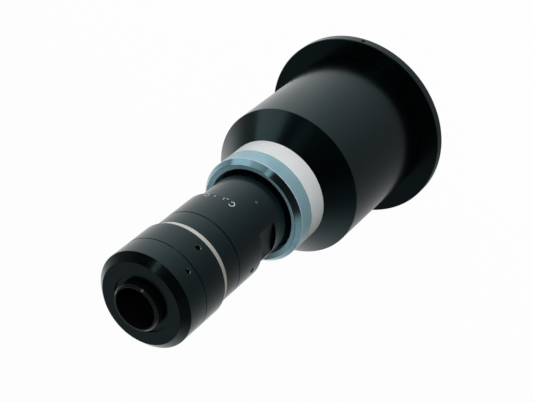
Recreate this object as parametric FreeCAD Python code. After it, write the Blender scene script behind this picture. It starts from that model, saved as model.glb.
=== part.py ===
import FreeCAD, Part
import math
import os

from FreeCAD import Vector

# Bi-telecentric machine-vision lens with an adjustable iris and a C-mount nose.
# The optical axis is Z. The lens stands on the front face of its mounting flange at Z = 0,
# with the large objective at the bottom and the camera mount at the top.
# All sizes are in millimetres. Azimuths are in degrees about Z, from +X towards +Y.

# Fits between neighbours
SCREW_GAP = 0.05        # radial gap in a screwed or slipped joint of fixed pieces
RUN_GAP = 0.06          # radial gap of the iris control ring on its seat
IRIS_GAP = 0.20         # gap round the rotating cam ring inside the tube
END_GAP = 0.10          # axial gap at each side of a rotating ring
GLASS_GAP = 0.05        # radial gap round a lens element in its seat
CUT_PAST = 1.0          # how far a drilled or milled cut runs past a face

# Objective: a cemented pair of large elements, and the ring that holds it
OBJECTIVE_D = 75.0
OBJECTIVE_SETBACK = 6.0
CROWN_RIM_T = 1.7       # thickness of the biconvex element at its rim
CROWN_R = 110.0
CEMENT_R = 90.0
FLINT_T = 4.0
FLINT_R = 300.0
OBJECTIVE_LEDGE = 1.5
OBJECTIVE_LEDGE_L = 4.0
RETAINER_OVER = 0.7     # radius of the retaining ring's thread over that of the glass
RETAINER_RIM = 2.5      # how far the ring reaches in over the glass
RETAINER_T = 6.0
SPANNER_SLOT_W = 3.0
SPANNER_SLOT_DEEP = 1.5

# Objective barrel
BORE_OVER = 0.1         # radius of the barrel's bore over that of the ring's thread
BARREL_WALL = 4.0
BARREL_L = 73.95        # straight part, from the flange to the cone
BARREL_EDGE = 0.3
CONE_ANGLE = 45.0       # slope of the barrel's cone against the axis
ROOT_GROOVE_W = 0.8     # relief groove where the barrel meets the flange
ROOT_GROOVE_H = 0.5
NECK_WALL = 3.0         # neck that carries the silver ring and the blue ring
NECK_GRIP = 3.0         # how far the neck reaches into the blue ring

# Mounting flange at the object end
FLANGE_REACH = 11.2     # how far the flange stands out from the barrel
FLANGE_SEAT_STEP = 1.8  # how far the spigot that carries the flange lies below the barrel
FLANGE_T = 5.5
FLANGE_EDGE = 0.4

# Light baffle inside the barrel
BAFFLE_UP = 52.5        # above the mounting flange
BAFFLE_T = 3.0
BAFFLE_HOLE_D = 52.0
BAFFLE_EDGE_T = 0.4

# Silver ring and blue ring on the neck
RING_WALL = 4.15        # of both rings over the neck
SILVER_W = 12.25
BLUE_CYL_W = 9.4
BLUE_BEVEL_L = 3.45
BLUE_BEVEL_H = 2.45
BLUE_LAND = 0.35
BLUE_LIP_DEPTH = 1.0
BLUE_BORE_GAP = 2.0     # open gap between the blue ring's bore and the rear tube

# Rear cell with its small elements: it carries the sleeve and the cap
REAR_LENS_D = 24.0
REAR_LENS_GAP = 0.10
CELL_WALL = 7.7
CELL_GRIP = 16.8        # how far the cell reaches into the rear tube
CELL_TOP_GAP = 0.3      # between the cell and the face of the rear cap
CELL_LEDGE = 2.5        # how far the ledge reaches in under the first element
CELL_LEDGE_T = 4.0
REAR_CROWN_RIM_T = 0.9
REAR_CROWN_R = 34.0
REAR_CEMENT_R = 24.0
REAR_FLINT_T = 1.8
REAR_FLINT_R = 80.0
REAR_SPACER_WALL = 1.8
REAR_SPACER_L = 6.0
MIDDLE_LENS_RIM_T = 1.3
MIDDLE_LENS_R = 40.0
LAST_LENS_T = 4.6
LAST_LENS_LOW_R = 30.0
LAST_LENS_HIGH_R = 90.0
REAR_RETAINER_T = 3.0
REAR_SLOT_W = 1.5

# Rear tube with its two spanner flats
TUBE_END_WALL = 1.65    # thin wall round the rear cell, under the iris ring and the collar
TUBE_STEP = 1.0         # shoulder from that wall up to the shown part of the tube
TUBE_SHOWN = 27.2       # from the front of the blue ring to the iris control ring
TUBE_GRIP = 17.0        # length of tube below the top of the neck
FLAT_DEPTH = 2.0
FLAT_L = 13.6
FLAT_TOP_GAP = 2.5      # from the flats to the iris control ring
FLAT_AZ = -54.0

# Small negative element in the foot of the rear tube
FIELD_SEAT_STEP = 0.5   # radius of the element over that of the tube's bore
FIELD_LENS_T = 3.0
FIELD_LENS_LOW_R = 95.0
FIELD_LENS_HIGH_R = 60.0
FIELD_SEAT_DEEP = 13.0
FIELD_RETAINER_T = 4.0
FIELD_RETAINER_RIM = 2.5

# Rings of the rear section, from the iris towards the camera
IRIS_RING_WALL = 3.0
IRIS_RING_W = 20.7
COLLAR_W = 11.7
BARE_RING_OVER = 0.25   # how far the bare ring stands out from the collar
BARE_RING_W = 3.4
CAP_WALL = 6.2          # of the adjusting sleeve and the rear cap over the cell
SLEEVE_W = 16.05
CAP_W = 16.45
CAP_BEVEL = 3.75
CAP_FACE_T = 6.4
SEAM_EDGE = 0.3         # small chamfer at each seam between rings

# Grub screws: diameter, length, azimuth of the first of three and height below the ring's top
FLANGE_SCREW_D = 2.0
FLANGE_SCREW_L = 6.0
FLANGE_SCREW_AZ = 37.8
FLANGE_SCREW_DROP = 2.4
SLEEVE_SCREW_D = 2.5
SLEEVE_SCREW_L = 3.8
SLEEVE_SCREW_AZ = 6.6
SLEEVE_SCREW_DROP = 10.65
CAP_SCREW_D = 2.0
CAP_SCREW_L = 3.8
CAP_SCREW_AZ = -5.4
CAP_SCREW_DROP = 12.6
SCREWS_ROUND = 3
SCREW_HOLE_GAP = 0.05
SOCKET_SHARE = 0.6      # hexagon socket's corner width as a share of the screw
HEX_STEP = 60

# C-mount nose, 1-32 UN
NOSE_D = 25.4
NOSE_L = 4.5
NOSE_WALL = 1.6
NOSE_EDGE = 1.0         # chamfer at the start of the thread
NOSE_RELIEF_DEEP = 0.9
NOSE_RELIEF_W = 0.8
NOSE_SPIGOT_STEP = 0.8  # radius of the spigot in the cap over that of the thread
NOSE_FLANGE_STEP = 1.6  # radius of the nose's flange over that of its spigot
NOSE_FLANGE_T = 0.8
NOSE_RECESS = 0.6

# Iris: blades with a pivot pin below and a drive pin above, moved by a slotted cam ring
BLADES = 8
IRIS_PIN_UP = 7.6       # radial pin of control ring and cam ring, above the control ring's low end
IRIS_PIN_AZ = -67.0
IRIS_PIN_D = 2.0
IRIS_PIN_END_D = 1.2    # reduced end of the pin inside the cam ring
IRIS_PIN_END_L = 1.8
IRIS_PIN_HEAD_D = 3.0
IRIS_PIN_HEAD_L = 1.6
IRIS_PIN_SLOT_W = 0.6
IRIS_PIN_SUNK = 0.8
IRIS_SEAT_STEP = 1.3    # radius of the cell over that of the iris's seat in the tube
TUBE_BORE_STEP = 1.5    # radius of that seat over that of the tube's bore
CAM_T = 2.0
CAM_HOLE_OVER = 0.4     # radius of the cam ring's hole over that of the blades' inner edge
BASE_T = 1.5
BASE_RIM_OVER = 4.3     # radius of the base plate's recess over that of the pivots
BLADE_SPACE = 2.6
PIVOT_R = 11.2
BLADE_IN_STEP = 4.0     # radius of the pivots over that of the blades' inner edge
BLADE_OUT_STEP = 1.4    # radius of the blades' outer edge over that of the pivots
BLADE_T = 0.06
BLADE_SPAN = 150.0      # angle at the blade's centre between its two pins
BLADE_FLOOR_GAP = 0.10
BLADE_PIN_D = 1.2
BLADE_PIN_GAP = 0.05
SLOT_SWAY = 0.10        # extra half width of the cam slots
RING_OPEN = -45.0       # travel of the control ring from the photographed position
RING_CLOSED = 15.0
BLADE_RATIO = 0.5       # blade turn for each degree of the cam ring
IRIS_RETAINER_T = 2.3
IRIS_RETAINER_WALL = 4.5

# Diameters worked out from the sizes above
RETAINER_D = OBJECTIVE_D + 2 * RETAINER_OVER
RETAINER_BORE_D = OBJECTIVE_D - 2 * RETAINER_RIM
BARREL_BORE_D = RETAINER_D + 2 * BORE_OVER
BARREL_D = BARREL_BORE_D + 2 * BARREL_WALL
FLANGE_D = BARREL_D + 2 * FLANGE_REACH
FLANGE_SEAT_D = BARREL_D - 2 * FLANGE_SEAT_STEP
CELL_BORE_D = REAR_LENS_D + 2 * REAR_LENS_GAP
CELL_D = CELL_BORE_D + 2 * CELL_WALL
CELL_MOUTH_D = REAR_LENS_D - 2 * CELL_LEDGE
REAR_SPACER_BORE_D = REAR_LENS_D - 2 * REAR_SPACER_WALL
TUBE_SEAT_D = CELL_D + 2 * SCREW_GAP + 2 * TUBE_END_WALL
TUBE_D = TUBE_SEAT_D + 2 * TUBE_STEP
IRIS_BORE_D = CELL_D - 2 * IRIS_SEAT_STEP
TUBE_BORE_D = IRIS_BORE_D - 2 * TUBE_BORE_STEP
FIELD_LENS_D = TUBE_BORE_D + 2 * FIELD_SEAT_STEP
FIELD_RETAINER_BORE_D = FIELD_LENS_D - 2 * FIELD_RETAINER_RIM
NECK_D = TUBE_D + 2 * NECK_WALL
RING_D = NECK_D + 2 * RING_WALL
BLUE_BORE_D = TUBE_D + 2 * BLUE_BORE_GAP
IRIS_RING_D = TUBE_SEAT_D + 2 * IRIS_RING_WALL
BARE_RING_D = IRIS_RING_D + 2 * BARE_RING_OVER
CAP_D = CELL_D + 2 * CAP_WALL
NOSE_BORE_D = NOSE_D - 2 * NOSE_WALL
NOSE_RELIEF_D = NOSE_D - 2 * NOSE_RELIEF_DEEP
NOSE_SPIGOT_D = NOSE_D + 2 * NOSE_SPIGOT_STEP
NOSE_FLANGE_D = NOSE_SPIGOT_D + 2 * NOSE_FLANGE_STEP
BLADE_IN_R = PIVOT_R - BLADE_IN_STEP
BLADE_OUT_R = PIVOT_R + BLADE_OUT_STEP
CAM_HOLE_D = 2 * (BLADE_IN_R + CAM_HOLE_OVER)
BASE_RIM_D = 2 * (PIVOT_R + BASE_RIM_OVER)
IRIS_RETAINER_BORE_D = IRIS_BORE_D - 2 * IRIS_RETAINER_WALL

# Heights along the axis, worked out from the sizes above
Z_FLANGE = FLANGE_T
Z_CONE_LOW = Z_FLANGE + BARREL_L
Z_CONE_TOP = Z_CONE_LOW + (BARREL_D - RING_D) / 2
Z_SILVER_TOP = Z_CONE_TOP + SILVER_W
Z_NECK_TOP = Z_SILVER_TOP + NECK_GRIP
Z_BLUE_EDGE = Z_SILVER_TOP + BLUE_CYL_W
Z_BLUE_TOP = Z_BLUE_EDGE + BLUE_BEVEL_L
Z_IRIS_LOW = Z_BLUE_TOP + TUBE_SHOWN
Z_IRIS_TOP = Z_IRIS_LOW + IRIS_RING_W
Z_COLLAR_TOP = Z_IRIS_TOP + COLLAR_W
Z_BARE_TOP = Z_COLLAR_TOP + BARE_RING_W
Z_SLEEVE_TOP = Z_BARE_TOP + SLEEVE_W
Z_CAP_TOP = Z_SLEEVE_TOP + CAP_W
Z_NOSE_TOP = Z_CAP_TOP + NOSE_L
Z_TUBE_LOW = Z_NECK_TOP - TUBE_GRIP
Z_FIELD_SEAT = Z_TUBE_LOW + FIELD_SEAT_DEEP
Z_FLANGE_SCREW = Z_FLANGE - FLANGE_SCREW_DROP
Z_BAFFLE = Z_FLANGE + BAFFLE_UP
Z_IRIS_PIN = Z_IRIS_LOW + IRIS_PIN_UP
Z_CAM_LOW = Z_IRIS_PIN - CAM_T / 2
Z_CAM_TOP = Z_IRIS_PIN + CAM_T / 2
Z_BLADE_FLOOR = Z_CAM_LOW - BLADE_SPACE
Z_IRIS_LEDGE = Z_BLADE_FLOOR - BASE_T
Z_CELL_BASE = Z_COLLAR_TOP - CELL_GRIP
Z_CELL_TOP = Z_CAP_TOP - CAP_FACE_T - CELL_TOP_GAP
Z_SLEEVE_SCREW = Z_SLEEVE_TOP - SLEEVE_SCREW_DROP
Z_CAP_SCREW = Z_CAP_TOP - CAP_SCREW_DROP

# Derived radii and angles
BARREL_BORE_R = BARREL_BORE_D / 2
OBJECTIVE_SEAT_R = OBJECTIVE_D / 2 + GLASS_GAP
CELL_SEAT_R = CELL_D / 2 + SCREW_GAP
RING_REST = -RING_OPEN                      # turn of the cam ring from fully open to rest
BLADE_REST = BLADE_RATIO * RING_REST
CAM_OUTER_R = IRIS_BORE_D / 2 - IRIS_GAP
PIN_INNER_R = CAM_OUTER_R - IRIS_PIN_END_L   # where the drive pin ends inside the cam ring
CIRCLE = 360.0

CENTRE = Vector(0, 0, 0)
AXIS = Vector(0, 0, 1)
OUTWARD = Vector(1, 0, 0)


def at(radius, azimuth, z=0.0):
    """Point at a radius and azimuth about the axis."""
    angle = math.radians(azimuth)
    return Vector(radius * math.cos(angle), radius * math.sin(angle), z)


def sag(curve_radius, radius):
    """Depth of a spherical surface at a radius; it has the sign of the curve radius."""
    depth = abs(curve_radius) - math.sqrt(curve_radius ** 2 - radius ** 2)
    return math.copysign(depth, curve_radius)


def turned(outline):
    """Solid turned about Z from a closed outline of (radius, height) points."""
    points = [Vector(radius, 0, z) for radius, z in outline]
    face = Part.Face(Part.makePolygon(points + points[:1]))
    return face.revolve(CENTRE, AXIS, CIRCLE)


def ring(bore_d, outer_d, z_low, z_top, low_edge=0.0, top_edge=0.0):
    """Turned ring with optional 45-degree chamfers on its two outer edges."""
    bore = bore_d / 2
    outer = outer_d / 2
    outline = [(bore, z_low), (outer - low_edge, z_low)]
    if low_edge:
        outline.append((outer, z_low + low_edge))
    outline.append((outer, z_top - top_edge))
    if top_edge:
        outline.append((outer - top_edge, z_top))
    outline.append((bore, z_top))
    return turned(outline)


def lens(diameter, z_low, low_curve, z_top, top_curve):
    """Glass element between two spherical faces, given by their vertex heights.

    A positive curve has its centre above the face, a negative one below it.
    """
    radius = diameter / 2

    def face_arc(z_vertex, curve):
        """Arc from the vertex on the axis out to the rim."""
        half = Vector(radius / 2, 0, z_vertex + sag(curve, radius / 2))
        rim = Vector(radius, 0, z_vertex + sag(curve, radius))
        return Part.Arc(Vector(0, 0, z_vertex), half, rim).toShape(), rim

    low_arc, low_rim = face_arc(z_low, low_curve)
    top_arc, top_rim = face_arc(z_top, top_curve)
    edges = [
        low_arc,
        Part.LineSegment(low_rim, top_rim).toShape(),
        top_arc,
        Part.LineSegment(Vector(0, 0, z_top), Vector(0, 0, z_low)).toShape(),
    ]
    face = Part.Face(Part.Wire(Part.__sortEdges__(edges)))
    return face.revolve(CENTRE, AXIS, CIRCLE)


def turn(shape, azimuth):
    """Copy of a shape turned about the optical axis."""
    copy = shape.copy()
    copy.rotate(CENTRE, AXIS, azimuth)
    return copy


def repeat(shape, count, first_azimuth):
    """Copies of a shape evenly round the axis."""
    return [turn(shape, first_azimuth + number * CIRCLE / count) for number in range(count)]


def radial_hole(diameter, r_from, r_to, z):
    """Cylinder along +X, used as a radial hole or pin."""
    return Part.makeCylinder(diameter / 2, r_to - r_from, Vector(r_from, 0, z), OUTWARD)


def grub_screw(diameter, length, r_from, z):
    """Hexagon-socket grub screw along +X with a cone point at its inner end."""
    radius = diameter / 2
    point = radius / 2
    r_to = r_from + length
    body = Part.makeCylinder(radius, length - point, Vector(r_from + point, 0, z), OUTWARD)
    tip = Part.makeCone(radius - point, radius, point, Vector(r_from, 0, z), OUTWARD)
    socket_r = SOCKET_SHARE * radius
    floor = r_to - diameter / 2
    angles = [math.radians(step) for step in range(0, int(CIRCLE) + 1, HEX_STEP)]
    corners = [Vector(floor, socket_r * math.cos(a), z + socket_r * math.sin(a)) for a in angles]
    socket = Part.Face(Part.makePolygon(corners)).extrude(Vector(diameter, 0, 0))
    return body.fuse(tip).cut(socket).removeSplitter()


def spanner_slots(width, r_from, r_to, z_low, z_top):
    """Two opposite slots for a pin spanner."""
    slot = Part.makeBox(r_to - r_from, width, z_top - z_low, Vector(r_from, -width / 2, z_low))
    return Part.makeCompound(repeat(slot, 2, 0))


def mounting_flange():
    """Flange on the barrel's foot, with radial holes for its grub screws."""
    bore_d = FLANGE_SEAT_D + 2 * SCREW_GAP
    body = ring(bore_d, FLANGE_D, 0, FLANGE_T, FLANGE_EDGE, FLANGE_EDGE)
    hole_d = FLANGE_SCREW_D + 2 * SCREW_HOLE_GAP
    hole = radial_hole(hole_d, bore_d / 2 - CUT_PAST, FLANGE_D / 2 + CUT_PAST, Z_FLANGE_SCREW)
    return body.cut(repeat(hole, SCREWS_ROUND, FLANGE_SCREW_AZ))


def flange_grub_screws():
    """Three screws that lock the flange on the barrel."""
    screw = grub_screw(FLANGE_SCREW_D, FLANGE_SCREW_L, FLANGE_SEAT_D / 2, Z_FLANGE_SCREW)
    return Part.makeCompound(repeat(screw, SCREWS_ROUND, FLANGE_SCREW_AZ))


def objective_barrel():
    """Barrel, 45-degree cone and neck turned in one piece."""
    outer = BARREL_D / 2
    seat = FLANGE_SEAT_D / 2
    ledge_r = OBJECTIVE_SEAT_R - OBJECTIVE_LEDGE
    ledge = objective_flint_top() + sag(-FLINT_R, ledge_r)
    thread_r = RETAINER_D / 2 + SCREW_GAP
    corner = BARREL_WALL * math.tan(math.radians(CONE_ANGLE / 2))
    cone_low = Z_CONE_LOW - corner
    tube_r = TUBE_D / 2 + SCREW_GAP
    cone_top = cone_low + BARREL_BORE_R - tube_r
    thread_top = objective_front_rim()
    groove = outer - ROOT_GROOVE_H
    outline = [
        (seat, 0), (seat, Z_FLANGE), (groove, Z_FLANGE), (groove, Z_FLANGE + ROOT_GROOVE_W),
        (outer, Z_FLANGE + ROOT_GROOVE_W), (outer, Z_CONE_LOW - BARREL_EDGE),
        (outer - BARREL_EDGE / 2, Z_CONE_LOW), (RING_D / 2, Z_CONE_TOP), (NECK_D / 2, Z_CONE_TOP),
        (NECK_D / 2, Z_NECK_TOP), (tube_r, Z_NECK_TOP), (tube_r, cone_top), (BARREL_BORE_R, cone_low),
        (BARREL_BORE_R, ledge + OBJECTIVE_LEDGE_L), (ledge_r, ledge + OBJECTIVE_LEDGE_L),
        (ledge_r, ledge), (OBJECTIVE_SEAT_R, ledge), (OBJECTIVE_SEAT_R, thread_top),
        (thread_r, thread_top), (thread_r, 0),
    ]
    return turned(outline)


def centre_thickness(diameter, rim_t, curve_1, curve_2):
    """Thickness on the axis of a biconvex element with a given rim."""
    return rim_t + sag(curve_1, diameter / 2) + sag(curve_2, diameter / 2)


def crown_top():
    """Height of the vertex of the cemented surface."""
    return OBJECTIVE_SETBACK + centre_thickness(OBJECTIVE_D, CROWN_RIM_T, CROWN_R, CEMENT_R)


def objective_front_rim():
    """Height of the objective's front face at its rim."""
    return OBJECTIVE_SETBACK + sag(CROWN_R, OBJECTIVE_D / 2)


def objective_flint_top():
    """Height of the rear vertex of the cemented pair."""
    return crown_top() + FLINT_T


def objective_crown():
    """Front element of the objective, thick and biconvex."""
    return lens(OBJECTIVE_D, OBJECTIVE_SETBACK, CROWN_R, crown_top(), -CEMENT_R)


def objective_flint():
    """Rear element, cemented on the crown."""
    return lens(OBJECTIVE_D, crown_top(), -CEMENT_R, objective_flint_top(), -FLINT_R)


def objective_retaining_ring():
    """Screwed ring with spanner slots that holds the objective against its ledge."""
    bore = RETAINER_BORE_D / 2
    contact = OBJECTIVE_SETBACK + sag(CROWN_R, bore)
    low = contact - RETAINER_T
    body = ring(RETAINER_BORE_D, RETAINER_D, low, contact)
    slots = spanner_slots(SPANNER_SLOT_W, bore - CUT_PAST, RETAINER_D / 2 + CUT_PAST,
                          low - CUT_PAST, low + SPANNER_SLOT_DEEP)
    return body.cut(slots)


def barrel_baffle():
    """Screwed light trap with a knife edge round its hole."""
    outer = BARREL_BORE_R - SCREW_GAP
    hole = BAFFLE_HOLE_D / 2
    top = Z_BAFFLE + BAFFLE_T
    return turned([
        (hole, Z_BAFFLE), (outer, Z_BAFFLE), (outer, top),
        (hole + BAFFLE_T, top), (hole, Z_BAFFLE + BAFFLE_EDGE_T),
    ])


def silver_ring():
    """Plain bare ring between the cone and the blue ring."""
    return ring(NECK_D + 2 * SCREW_GAP, RING_D, Z_CONE_TOP, Z_SILVER_TOP)


def blue_ring():
    """Anodised lock ring with a long front bevel and a dished lip."""
    outer = RING_D / 2
    bevel = outer - BLUE_BEVEL_H
    bore = BLUE_BORE_D / 2
    neck = NECK_D / 2 + SCREW_GAP
    return turned([
        (neck, Z_SILVER_TOP), (outer, Z_SILVER_TOP), (outer, Z_BLUE_EDGE), (bevel, Z_BLUE_TOP),
        (bevel - BLUE_LAND, Z_BLUE_TOP), (bore, Z_BLUE_TOP - BLUE_LIP_DEPTH), (bore, Z_NECK_TOP),
        (neck, Z_NECK_TOP),
    ])


def rear_tube():
    """Fixed tube that carries the iris, with spanner flats and the pin's slot."""
    outer = TUBE_D / 2
    seat = TUBE_SEAT_D / 2
    bore = TUBE_BORE_D / 2
    field = FIELD_LENS_D / 2 + GLASS_GAP
    iris = IRIS_BORE_D / 2
    body = turned([
        (field, Z_TUBE_LOW), (outer, Z_TUBE_LOW), (outer, Z_IRIS_LOW), (seat, Z_IRIS_LOW),
        (seat, Z_COLLAR_TOP), (CELL_SEAT_R, Z_COLLAR_TOP), (CELL_SEAT_R, Z_CELL_BASE),
        (iris, Z_CELL_BASE), (iris, Z_IRIS_LEDGE), (bore, Z_IRIS_LEDGE), (bore, Z_FIELD_SEAT),
        (field, Z_FIELD_SEAT),
    ])
    flat_top = Z_IRIS_LOW - FLAT_TOP_GAP
    flat = Part.makeBox(outer, TUBE_D, FLAT_L, Vector(outer - FLAT_DEPTH, -outer, flat_top - FLAT_L))
    return body.cut(repeat(flat, 2, FLAT_AZ) + [pin_slot()])


def pin_slot():
    """Window in the tube wall through which the drive pin sweeps."""
    height = IRIS_PIN_D + 2 * IRIS_GAP
    margin = math.degrees((IRIS_PIN_D / 2 + IRIS_GAP) / (IRIS_BORE_D / 2))
    start = IRIS_PIN_AZ + RING_OPEN - margin
    sweep = RING_CLOSED - RING_OPEN + 2 * margin
    low = Z_IRIS_PIN - height / 2
    inner = IRIS_BORE_D / 2 - CUT_PAST
    outer = TUBE_SEAT_D / 2 + CUT_PAST
    corners = [(inner, low), (outer, low), (outer, low + height), (inner, low + height), (inner, low)]
    section = Part.Face(Part.makePolygon([Vector(r, 0, z) for r, z in corners]))
    return turn(section.revolve(CENTRE, AXIS, sweep), start)


def field_lens():
    """Meniscus element in the foot of the rear tube."""
    rim = Z_FIELD_SEAT
    top = rim - sag(FIELD_LENS_HIGH_R, FIELD_LENS_D / 2)
    return lens(FIELD_LENS_D, top - FIELD_LENS_T, FIELD_LENS_LOW_R, top, FIELD_LENS_HIGH_R)


def field_lens_retainer():
    """Screwed ring under the field lens."""
    top_vertex = Z_FIELD_SEAT - sag(FIELD_LENS_HIGH_R, FIELD_LENS_D / 2)
    rim = top_vertex - FIELD_LENS_T + sag(FIELD_LENS_LOW_R, FIELD_RETAINER_BORE_D / 2)
    body = ring(FIELD_RETAINER_BORE_D, FIELD_LENS_D, rim - FIELD_RETAINER_T, rim)
    low = rim - FIELD_RETAINER_T
    slots = spanner_slots(SPANNER_SLOT_W, FIELD_RETAINER_BORE_D / 2 - CUT_PAST, FIELD_LENS_D / 2 + CUT_PAST,
                          low - CUT_PAST, low + SPANNER_SLOT_DEEP)
    return body.cut(slots)


def iris_base_plate():
    """Plate with a pivot hole for each blade and a rim that spaces the cam ring."""
    outer = IRIS_BORE_D / 2 - SCREW_GAP
    body = turned([
        (CAM_HOLE_D / 2, Z_IRIS_LEDGE), (outer, Z_IRIS_LEDGE), (outer, Z_CAM_LOW - END_GAP),
        (BASE_RIM_D / 2, Z_CAM_LOW - END_GAP), (BASE_RIM_D / 2, Z_BLADE_FLOOR),
        (CAM_HOLE_D / 2, Z_BLADE_FLOOR),
    ])
    hole_r = BLADE_PIN_D / 2 + BLADE_PIN_GAP
    hole = Part.makeCylinder(hole_r, 2 * BASE_T, at(PIVOT_R, 0, Z_IRIS_LEDGE - BASE_T / 2))
    return body.cut(repeat(hole, BLADES, 0))


def cam_slot():
    """Rounded radial slot of the cam ring, at azimuth 0."""
    half = BLADE_PIN_D / 2 + SLOT_SWAY
    reach = 2 * PIVOT_R * math.sin(math.radians(BLADE_SPAN / 2))
    inner = reach - PIVOT_R
    low = Z_CAM_LOW - CAM_T / 2
    tall = 2 * CAM_T
    ends = [Part.makeCylinder(half, tall, Vector(radius, 0, low)) for radius in (inner, PIVOT_R)]
    box = Part.makeBox(PIVOT_R - inner, 2 * half, tall, Vector(inner, -half, low))
    return box.fuse(ends).removeSplitter()


def iris_cam_ring():
    """Rotating ring whose slots move the blades' drive pins."""
    body = ring(CAM_HOLE_D, 2 * CAM_OUTER_R, Z_CAM_LOW, Z_CAM_TOP)
    slots = repeat(cam_slot(), BLADES, BLADE_SPAN + RING_REST)
    socket = radial_hole(IRIS_PIN_END_D, PIN_INNER_R, CAM_OUTER_R + CUT_PAST, Z_IRIS_PIN)
    return body.cut(slots + [turn(socket, IRIS_PIN_AZ)])


def blade_outline():
    """Plan of a blade in its open position, pivot at azimuth 0 and drive pin at the span."""
    middle = (BLADE_IN_R + BLADE_OUT_R) / 2
    half = (BLADE_OUT_R - BLADE_IN_R) / 2
    start_tip = at(middle, 0) + Vector(0, -half, 0)
    end_dir = at(1, BLADE_SPAN + 90)
    end_tip = at(middle, BLADE_SPAN) + end_dir * half
    arcs = [
        Part.Arc(at(BLADE_OUT_R, 0), at(BLADE_OUT_R, BLADE_SPAN / 2), at(BLADE_OUT_R, BLADE_SPAN)),
        Part.Arc(at(BLADE_OUT_R, BLADE_SPAN), end_tip, at(BLADE_IN_R, BLADE_SPAN)),
        Part.Arc(at(BLADE_IN_R, BLADE_SPAN), at(BLADE_IN_R, BLADE_SPAN / 2), at(BLADE_IN_R, 0)),
        Part.Arc(at(BLADE_IN_R, 0), start_tip, at(BLADE_OUT_R, 0)),
    ]
    return Part.Face(Part.Wire([arc.toShape() for arc in arcs]))


def blade_height(angle):
    """Height of a blade's underside at an angle round its centre."""
    return Z_BLADE_FLOOR + BLADE_FLOOR_GAP + blade_slope() * (angle + blade_margin())


def blade_margin():
    """Angle by which the blade's round ends reach past its pins, with some to spare."""
    half = (BLADE_OUT_R - BLADE_IN_R) / 2
    return math.degrees(math.asin(half / BLADE_IN_R))


def blade_slope():
    """Rise of a blade in mm per degree, so that the blades lie over each other in their space."""
    rise = BLADE_SPACE - BLADE_T - 2 * BLADE_FLOOR_GAP
    return rise / (BLADE_SPAN + 2 * blade_margin())


def blade_ramp():
    """Helical sheet of a blade's thickness, in two halves that meet at its middle."""
    sweep = BLADE_SPAN + 2 * blade_margin()
    rise = blade_slope() * sweep / 2
    inner = Part.makeHelix(blade_slope() * CIRCLE, rise, BLADE_IN_R / 2)
    outer = Part.makeHelix(blade_slope() * CIRCLE, rise, BLADE_OUT_R + BLADE_IN_R / 2)
    half = Part.makeRuledSurface(inner.Edges[0], outer.Edges[0]).extrude(Vector(0, 0, BLADE_T))
    second = turn(half, sweep / 2)
    second.translate(Vector(0, 0, rise))
    return half.fuse(second)


def open_blade():
    """One blade with its pins, in the fully open position."""
    margin = blade_margin()
    ramp = turn(blade_ramp(), -margin)
    ramp.translate(Vector(0, 0, blade_height(-margin)))
    prism = blade_outline().extrude(Vector(0, 0, 3 * BLADE_SPACE))
    prism.translate(Vector(0, 0, Z_BLADE_FLOOR - BLADE_SPACE))
    leaf = ramp.common(prism)
    radius = BLADE_PIN_D / 2
    pivot_top = blade_height(0) + BLADE_T / 2
    pivot_low = Z_IRIS_LEDGE + END_GAP
    pivot = Part.makeCylinder(radius, pivot_top - pivot_low, at(PIVOT_R, 0, pivot_low))
    drive_low = blade_height(BLADE_SPAN) + BLADE_T / 2
    drive_top = Z_CAM_TOP - END_GAP
    drive = Part.makeCylinder(radius, drive_top - drive_low, at(PIVOT_R, BLADE_SPAN, drive_low))
    return leaf.fuse([pivot, drive])


def iris_blade(number):
    """Blade in the photographed position, turned about its own pivot."""
    blade = open_blade()
    blade.rotate(at(PIVOT_R, 0), AXIS, BLADE_REST)
    return turn(blade, number * CIRCLE / BLADES)


def iris_retaining_ring():
    """Screwed ring that keeps the iris together."""
    low = Z_CAM_TOP + END_GAP
    body = ring(IRIS_RETAINER_BORE_D, IRIS_BORE_D - 2 * SCREW_GAP, low, low + IRIS_RETAINER_T)
    top = low + IRIS_RETAINER_T
    slots = spanner_slots(SPANNER_SLOT_W, IRIS_RETAINER_BORE_D / 2 - CUT_PAST, IRIS_BORE_D / 2,
                          top - SPANNER_SLOT_DEEP, top + CUT_PAST)
    return body.cut(slots)


def iris_control_ring():
    """Outer ring turned by hand, with the stepped hole of the drive pin."""
    bore_d = TUBE_SEAT_D + 2 * RUN_GAP
    body = ring(bore_d, IRIS_RING_D, Z_IRIS_LOW + END_GAP, Z_IRIS_TOP - END_GAP, SEAM_EDGE, SEAM_EDGE)
    outer = IRIS_RING_D / 2
    shank = radial_hole(IRIS_PIN_D, bore_d / 2 - CUT_PAST, outer + CUT_PAST, Z_IRIS_PIN)
    head_in = outer - IRIS_PIN_SUNK - IRIS_PIN_HEAD_L
    head = radial_hole(IRIS_PIN_HEAD_D, head_in, outer + CUT_PAST, Z_IRIS_PIN)
    return body.cut([turn(shank, IRIS_PIN_AZ), turn(head, IRIS_PIN_AZ)])


def iris_drive_pin():
    """Headed pin that joins the control ring to the cam ring through the tube's window."""
    head_out = IRIS_RING_D / 2 - IRIS_PIN_SUNK
    head_in = head_out - IRIS_PIN_HEAD_L
    shank_in = CAM_OUTER_R + IRIS_GAP / 2
    end = radial_hole(IRIS_PIN_END_D, PIN_INNER_R, shank_in, Z_IRIS_PIN)
    shank = radial_hole(IRIS_PIN_D, shank_in, head_in, Z_IRIS_PIN)
    head = radial_hole(IRIS_PIN_HEAD_D, head_in, head_out, Z_IRIS_PIN)
    slot_low = Z_IRIS_PIN - IRIS_PIN_HEAD_D / 2 - CUT_PAST
    slot = Part.makeBox(IRIS_PIN_HEAD_L, IRIS_PIN_SLOT_W, IRIS_PIN_HEAD_D + 2 * CUT_PAST,
                        Vector(head_out - IRIS_PIN_HEAD_L / 2, -IRIS_PIN_SLOT_W / 2, slot_low))
    return turn(head.fuse([shank, end]).cut(slot).removeSplitter(), IRIS_PIN_AZ)


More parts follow.
